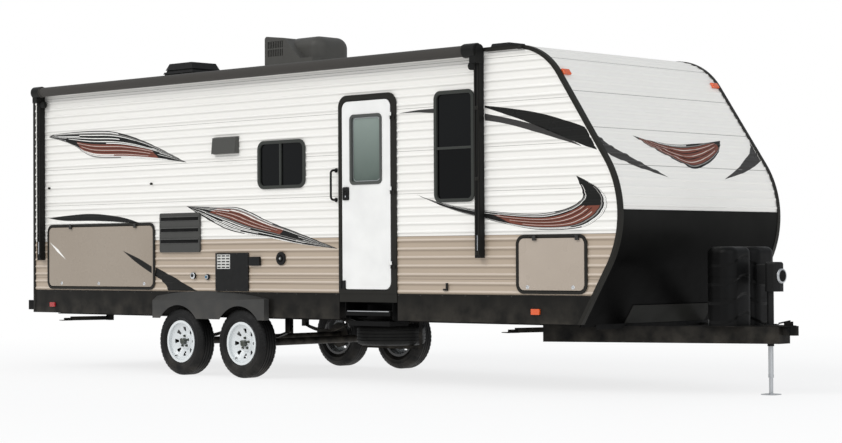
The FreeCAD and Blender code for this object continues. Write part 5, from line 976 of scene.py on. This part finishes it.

# Refrigerator vent: rounded hoods, each with a lip below, over slots filled with dark sheets of painted shade
stage("wall fittings")
louvre = {"span": (-2.362, -1.744), "slots": [1.652, 1.533, 1.414], "height": 0.034, "hood": 0.012,
          "hoodProud": 0.010, "lip": 0.006, "lipProud": 0.004, "past": 0.004, "clear": 0.03}
low, high = louvre["span"]
ends = low - louvre["past"], high + louvre["past"]
work = bmesh.new()
slotShadeWork = bmesh.new()
for z in louvre["slots"]:
    face = sideSeat("wall_fittings", (low + high) / 2, z + louvre["clear"]).y
    top, foot = z + louvre["height"] / 2, z - louvre["height"] / 2
    # A dark sheet of painted shade in each slot
    block(slotShadeWork, (low, face - 0.0012, foot), (high, face + 0.001, top), 0.0004)
    block(work, (ends[0], face - louvre["hoodProud"], top), (ends[1], face, top + louvre["hood"]), 0.004, 3)
    block(work, (ends[0], face - louvre["lipProud"], foot - louvre["lip"]), (ends[1], face, foot), 0.0018)
finish(work, "vent_louvres", "vent_grey")
finish(slotShadeWork, "vent_slot_shade", "slot_black")

# Heater grille with rows of slots, each a dark patch of painted shade
grille = {"span": (-1.4495, -1.2455), "heights": (1.123, 1.2715), "proud": 0.003, "rows": 5, "columns": 3,
          "slot": 0.012, "slotShare": 0.76}
(x0, x1), (z0, z1) = grille["span"], grille["heights"]
face = sideSeat("wall_fittings", (x0 + x1) / 2, (z0 + z1) / 2).y
front = face - grille["proud"]
work = bmesh.new()
block(work, (x0, front, z0), (x1, face, z1), 0.002)
finish(work, "heater_grille", "grille_pale")
rise, run = (z1 - z0) / grille["rows"], (x1 - x0) / grille["columns"]
halfRun, halfSlot = run * grille["slotShare"] / 2, grille["slot"] / 2
# Dark patches of painted shade stand for the slots
work = bmesh.new()
for row in range(grille["rows"]):
    for column in range(grille["columns"]):
        x, z = x0 + run * (column + 0.5), z0 + rise * (row + 0.5)
        block(work, (x - halfRun, front - 0.0008, z - halfSlot),
              (x + halfRun, front + 0.001, z + halfSlot), 0.0003)
finish(work, "heater_grille_slot_shade", "slot_black")

# Ports: a flat ring and a core that stands in it
ports = {
    "lock_cap": {"at": (-1.8375, 1.051), "ring": (0.036, "bright_metal"), "core": (0.018, "black_plastic")},
    "valve_port": {"at": (-1.6135, 1.038), "ring": (0.026, "zinc_steel"), "core": (0.014, "port_blue")},
    "round_port": {"at": (-0.4775, 1.227), "ring": (0.020, "window_frame"), "core": (0.011, "zinc_steel")},
}
for name, port in ports.items():
    seat = sideSeat("wall_fittings", *port["at"])
    for part, lift, depth, sides in (("ring", 0.0, 0.004, 32), ("core", 0.0035, 0.006, 24)):
        radius, kind = port[part]
        work = bmesh.new()
        button(work, seat + Vector(doorward) * lift, doorward, radius, depth, radius * 0.9, sides, 0.0012)
        finish(work, name + "_" + part, kind)

# Screws of the wall panels, skirts and fenders
screw = {"radius": 0.0052, "top": 0.0034, "height": 0.0022, "sides": 8}
screwPanels = [
    {"span": (-2.3815, -1.7245), "heights": (1.298, 1.715), "inset": 0.010, "across": 5, "up": 4},
    {"span": (-1.4785, -0.9695), "heights": (0.892, 1.288), "inset": 0.012, "across": 4, "up": 4},
    {"span": (-1.5085, -1.1155), "heights": (2.314, 2.492), "inset": 0.012, "across": 3, "up": 2},
]
screwRows = {
    "skirt_screws": {"node": "skirts", "span": (-4.55, 2.6), "z": 0.872, "count": 26},
    "fender_screws": {"node": "fender_skirts", "span": (-2.28, -0.84), "z": 0.868, "count": 8},
}


def screws(name, node, places, side=-1):
    # Small screw heads on the outside of a node
    work = bmesh.new()
    for x, z in places:
        seat = sideSeat(node, x, z, side)
        if seat is not None:
            button(work, seat, (0, side, 0), screw["radius"], screw["height"], screw["top"], screw["sides"])
    finish(work, name, "screw_dark")


def aroundPanel(panel):
    x0, x1 = panel["span"][0] + panel["inset"], panel["span"][1] - panel["inset"]
    z0, z1 = panel["heights"][0] + panel["inset"], panel["heights"][1] - panel["inset"]
    rows = [(x, z) for z in (z0, z1) for x in evenly(x0, x1, panel["across"])]
    return rows + [(x, z) for x in (x0, x1) for z in evenly(z0, z1, panel["up"])[1:-1]]


screws("wall_panel_screws", "wall_fittings", [place for panel in screwPanels for place in aroundPanel(panel)])
for tag, side in (("_right", -1), ("_left", 1)):
    for name, row in screwRows.items():
        screws(name + tag, row["node"], [(x, row["z"]) for x in evenly(*row["span"], row["count"])], side)

# Inner channels, knobs and rods of the awning arms
stage("awning")
arm = {
    "spans": {"rear": (-4.5245, -4.4465), "front": (2.2075, 2.2855)}, "heights": (1.245, 3.02),
    "channel": 0.020, "channelHalf": 0.005, "proud": 0.006,
    "clamps": (1.265, 1.95, 2.60), "clamp": (0.052, 0.032), "knob": 0.009,
    "rod": 0.0045, "rodShift": 0.004, "rodHeights": (1.29, 1.43),
}
clampWidth, clampHeight = arm["clamp"]
for tag, span in arm["spans"].items():
    middle = sum(span) / 2
    face = sideSeat("awning_arms", middle, 1.8).y
    clampFace = face - arm["proud"] * 1.5
    work = bmesh.new()
    for x in (middle - arm["channel"], middle + arm["channel"]):
        block(work, (x - arm["channelHalf"], face - arm["proud"], arm["heights"][0]),
              (x + arm["channelHalf"], face, arm["heights"][1]), 0.0018)
    for z in arm["clamps"]:
        block(work, (middle - clampWidth / 2, clampFace, z - clampHeight / 2),
              (middle + clampWidth / 2, face, z + clampHeight / 2), 0.003)
        button(work, (middle, clampFace, z), doorward, arm["knob"], 0.005, 0.007, 16)
    finish(work, "awning_arm_channels_" + tag, "dark_trim")
    foot, top = arm["rodHeights"]
    work = bmesh.new()
    seat = (middle + arm["rodShift"], face - arm["rod"], foot)
    button(work, seat, (0, 0, 1), arm["rod"], top - foot, sides=12)
    finish(work, "awning_arm_rod_" + tag, "bright_metal")

# Steps: rows of grip teeth, and a bright nosing strip along the upper tread
stage("steps")
grip = {"rows": 5, "teeth": 30, "radius": 0.0032, "height": 0.0022, "insets": (0.035, 0.055), "ends": 0.05}
nosing = {"drop": 0.006, "proud": 0.002, "rise": 0.0015, "width": 0.02, "ends": 0.03}
for node in ("step_upper_tread", "step_lower_tread"):
    low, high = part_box(node)
    work = bmesh.new()
    for y in evenly(low.y + grip["insets"][0], high.y - grip["insets"][1], grip["rows"]):
        for x in evenly(low.x + grip["ends"], high.x - grip["ends"], grip["teeth"]):
            seat = seatOn(node, (x, y, high.z + 0.1), (0, 0, -1))
            if seat is not None and seat.z > low.z:
                button(work, seat, (0, 0, 1), grip["radius"], grip["height"], grip["radius"] * 0.7, 6)
    finish(work, node + "_grip", "window_frame", bodyOf(node))
low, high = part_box("step_upper_tread")
work = bmesh.new()
block(work, (low.x + nosing["ends"], low.y - nosing["proud"], high.z - nosing["drop"]),
      (high.x - nosing["ends"], low.y + nosing["width"], high.z + nosing["rise"]), 0.0012)
finish(work, "step_nosing", "zinc_steel", bodyOf("step_upper_tread"))

# Closing angle between the front panel's foot and the drawbar
stage("front")
apron = {"reach": 1.0, "heights": (0.58, 0.64), "behind": 0.012, "thick": 0.006}
reach, (foot, top) = apron["reach"], apron["heights"]
back = seatOn("front_panel", (inFront, 0.9, top - 0.005), (-1, 0, 0)).x - apron["behind"]
work = bmesh.new()
block(work, (back, -reach, foot), (back + apron["thick"], reach, top), 0.001)
finish(work, "front_apron", "slot_black")

# Round lamp on the front of the jack's head
stage("jack")
jackLamp = {"z": 1.05, "bezel": (0.068, 0.014), "lens": (0.054, 0.005), "lensLift": 0.012}
seat = seatOn("tongue_jack", (inFront, 0.0, jackLamp["z"]), (-1, 0, 0))
work = bmesh.new()
radius, depth = jackLamp["bezel"]
button(work, seat, (1, 0, 0), radius, depth, radius * 0.93, 36, 0.002)
finish(work, "jack_lamp_bezel", "zinc_steel")
work = bmesh.new()
radius, depth = jackLamp["lens"]
seat.x += jackLamp["lensLift"]
button(work, seat, (1, 0, 0), radius, depth, radius * 0.9, 36, 0.001)
finish(work, "jack_lamp_lens", "slot_black")

# Camera, from the photograph's own perspective
stage("camera and light")
view = {"place": (15.1185, -15.511, 1.235), "azimuth": 43.676, "pitch": 0.97, "roll": -0.323,
        "focalPixels": 2092.4, "imageWidth": 842, "sensor": 36}
azimuth, pitch, roll = [math.radians(view[name]) for name in ("azimuth", "pitch", "roll")]
ahead = Vector((-math.sin(azimuth) * math.cos(pitch), math.cos(azimuth) * math.cos(pitch), math.sin(pitch)))
levelRight = Vector((math.cos(azimuth), math.sin(azimuth), 0))
levelUp = levelRight.cross(ahead)
right = levelRight * math.cos(roll) + levelUp * math.sin(roll)
up = levelUp * math.cos(roll) - levelRight * math.sin(roll)
lens = bpy.data.cameras.new("camera")
lens.sensor_width = view["sensor"]
lens.lens = view["sensor"] * view["focalPixels"] / view["imageWidth"]
lens.clip_end = 500
camera = bpy.data.objects.new("camera", lens)
bpy.context.scene.collection.objects.link(camera)
turned = Matrix((right, up, -ahead)).transposed().to_4x4()
camera.matrix_world = Matrix.Translation(view["place"]) @ turned
bpy.context.scene.camera = camera

# Pale floor that fades into a white backdrop
ground = {"size": 160.0, "code": "FAFAFA", "fade": (5.0, 13.0), "white": (0.78, 1.0)}
work = bmesh.new()
bmesh.ops.create_grid(work, x_segments=1, y_segments=1, size=ground["size"])
floor = bpy.data.objects.new("floor", fromBmesh(work, "floor"))
bpy.context.scene.collection.objects.link(floor)
paint = Shader("floor", ground["code"], 0.85)
away = paint.node("ShaderNodeVectorMath", operation="LENGTH")
blend = paint.node("ShaderNodeMixShader")
glow = paint.node("ShaderNodeEmission")
paint.feed(away.inputs[0], paint.place)
paint.feed(glow.inputs["Color"], "FFFFFF")
paint.feed(blend.inputs[0], paint.spread(away.outputs["Value"], *ground["fade"], ground["white"]))
paint.feed(blend.inputs[1], paint.surface.outputs[0])
paint.feed(blend.inputs[2], glow.outputs[0])
paint.feed(paint.tree.nodes["Material Output"].inputs["Surface"], blend.outputs[0])
floor.data.materials.append(paint.material)

# A soft sky that lights the coach and looks white to the camera
sky = {"colour": (0.93, 0.96, 1.0, 1), "strength": 0.58}
world = bpy.data.worlds.new("world")
bpy.context.scene.world = world
world.use_nodes = True
nodes, links = world.node_tree.nodes, world.node_tree.links
dome = nodes["Background"]
dome.inputs["Color"].default_value = sky["colour"]
dome.inputs["Strength"].default_value = sky["strength"]
backdrop = nodes.new("ShaderNodeBackground")
backdrop.inputs["Color"].default_value = (1, 1, 1, 1)
path = nodes.new("ShaderNodeLightPath")
mixed = nodes.new("ShaderNodeMixShader")
links.new(path.outputs["Is Camera Ray"], mixed.inputs[0])
links.new(dome.outputs[0], mixed.inputs[1])
links.new(backdrop.outputs[0], mixed.inputs[2])
links.new(mixed.outputs[0], nodes["World Output"].inputs[0])

suns = {
    "key": {"towards": (0.25, 0.75, -0.62), "energy": 1.17, "softness": 35, "colour": (1.0, 0.985, 0.96)},
    "fill": {"towards": (-0.8, 0.35, -0.45), "energy": 0.76, "softness": 60, "colour": (0.96, 0.98, 1.0)},
}
for name, sun in suns.items():
    light = bpy.data.lights.new(name, "SUN")
    light.energy = sun["energy"]
    light.angle = math.radians(sun["softness"])
    light.color = sun["colour"]
    made = bpy.data.objects.new(name, light)
    made.rotation_mode = "QUATERNION"
    made.rotation_quaternion = Vector(sun["towards"]).to_track_quat("-Z", "Y")
    bpy.context.scene.collection.objects.link(made)
bpy.context.scene.view_settings.view_transform = "Standard"
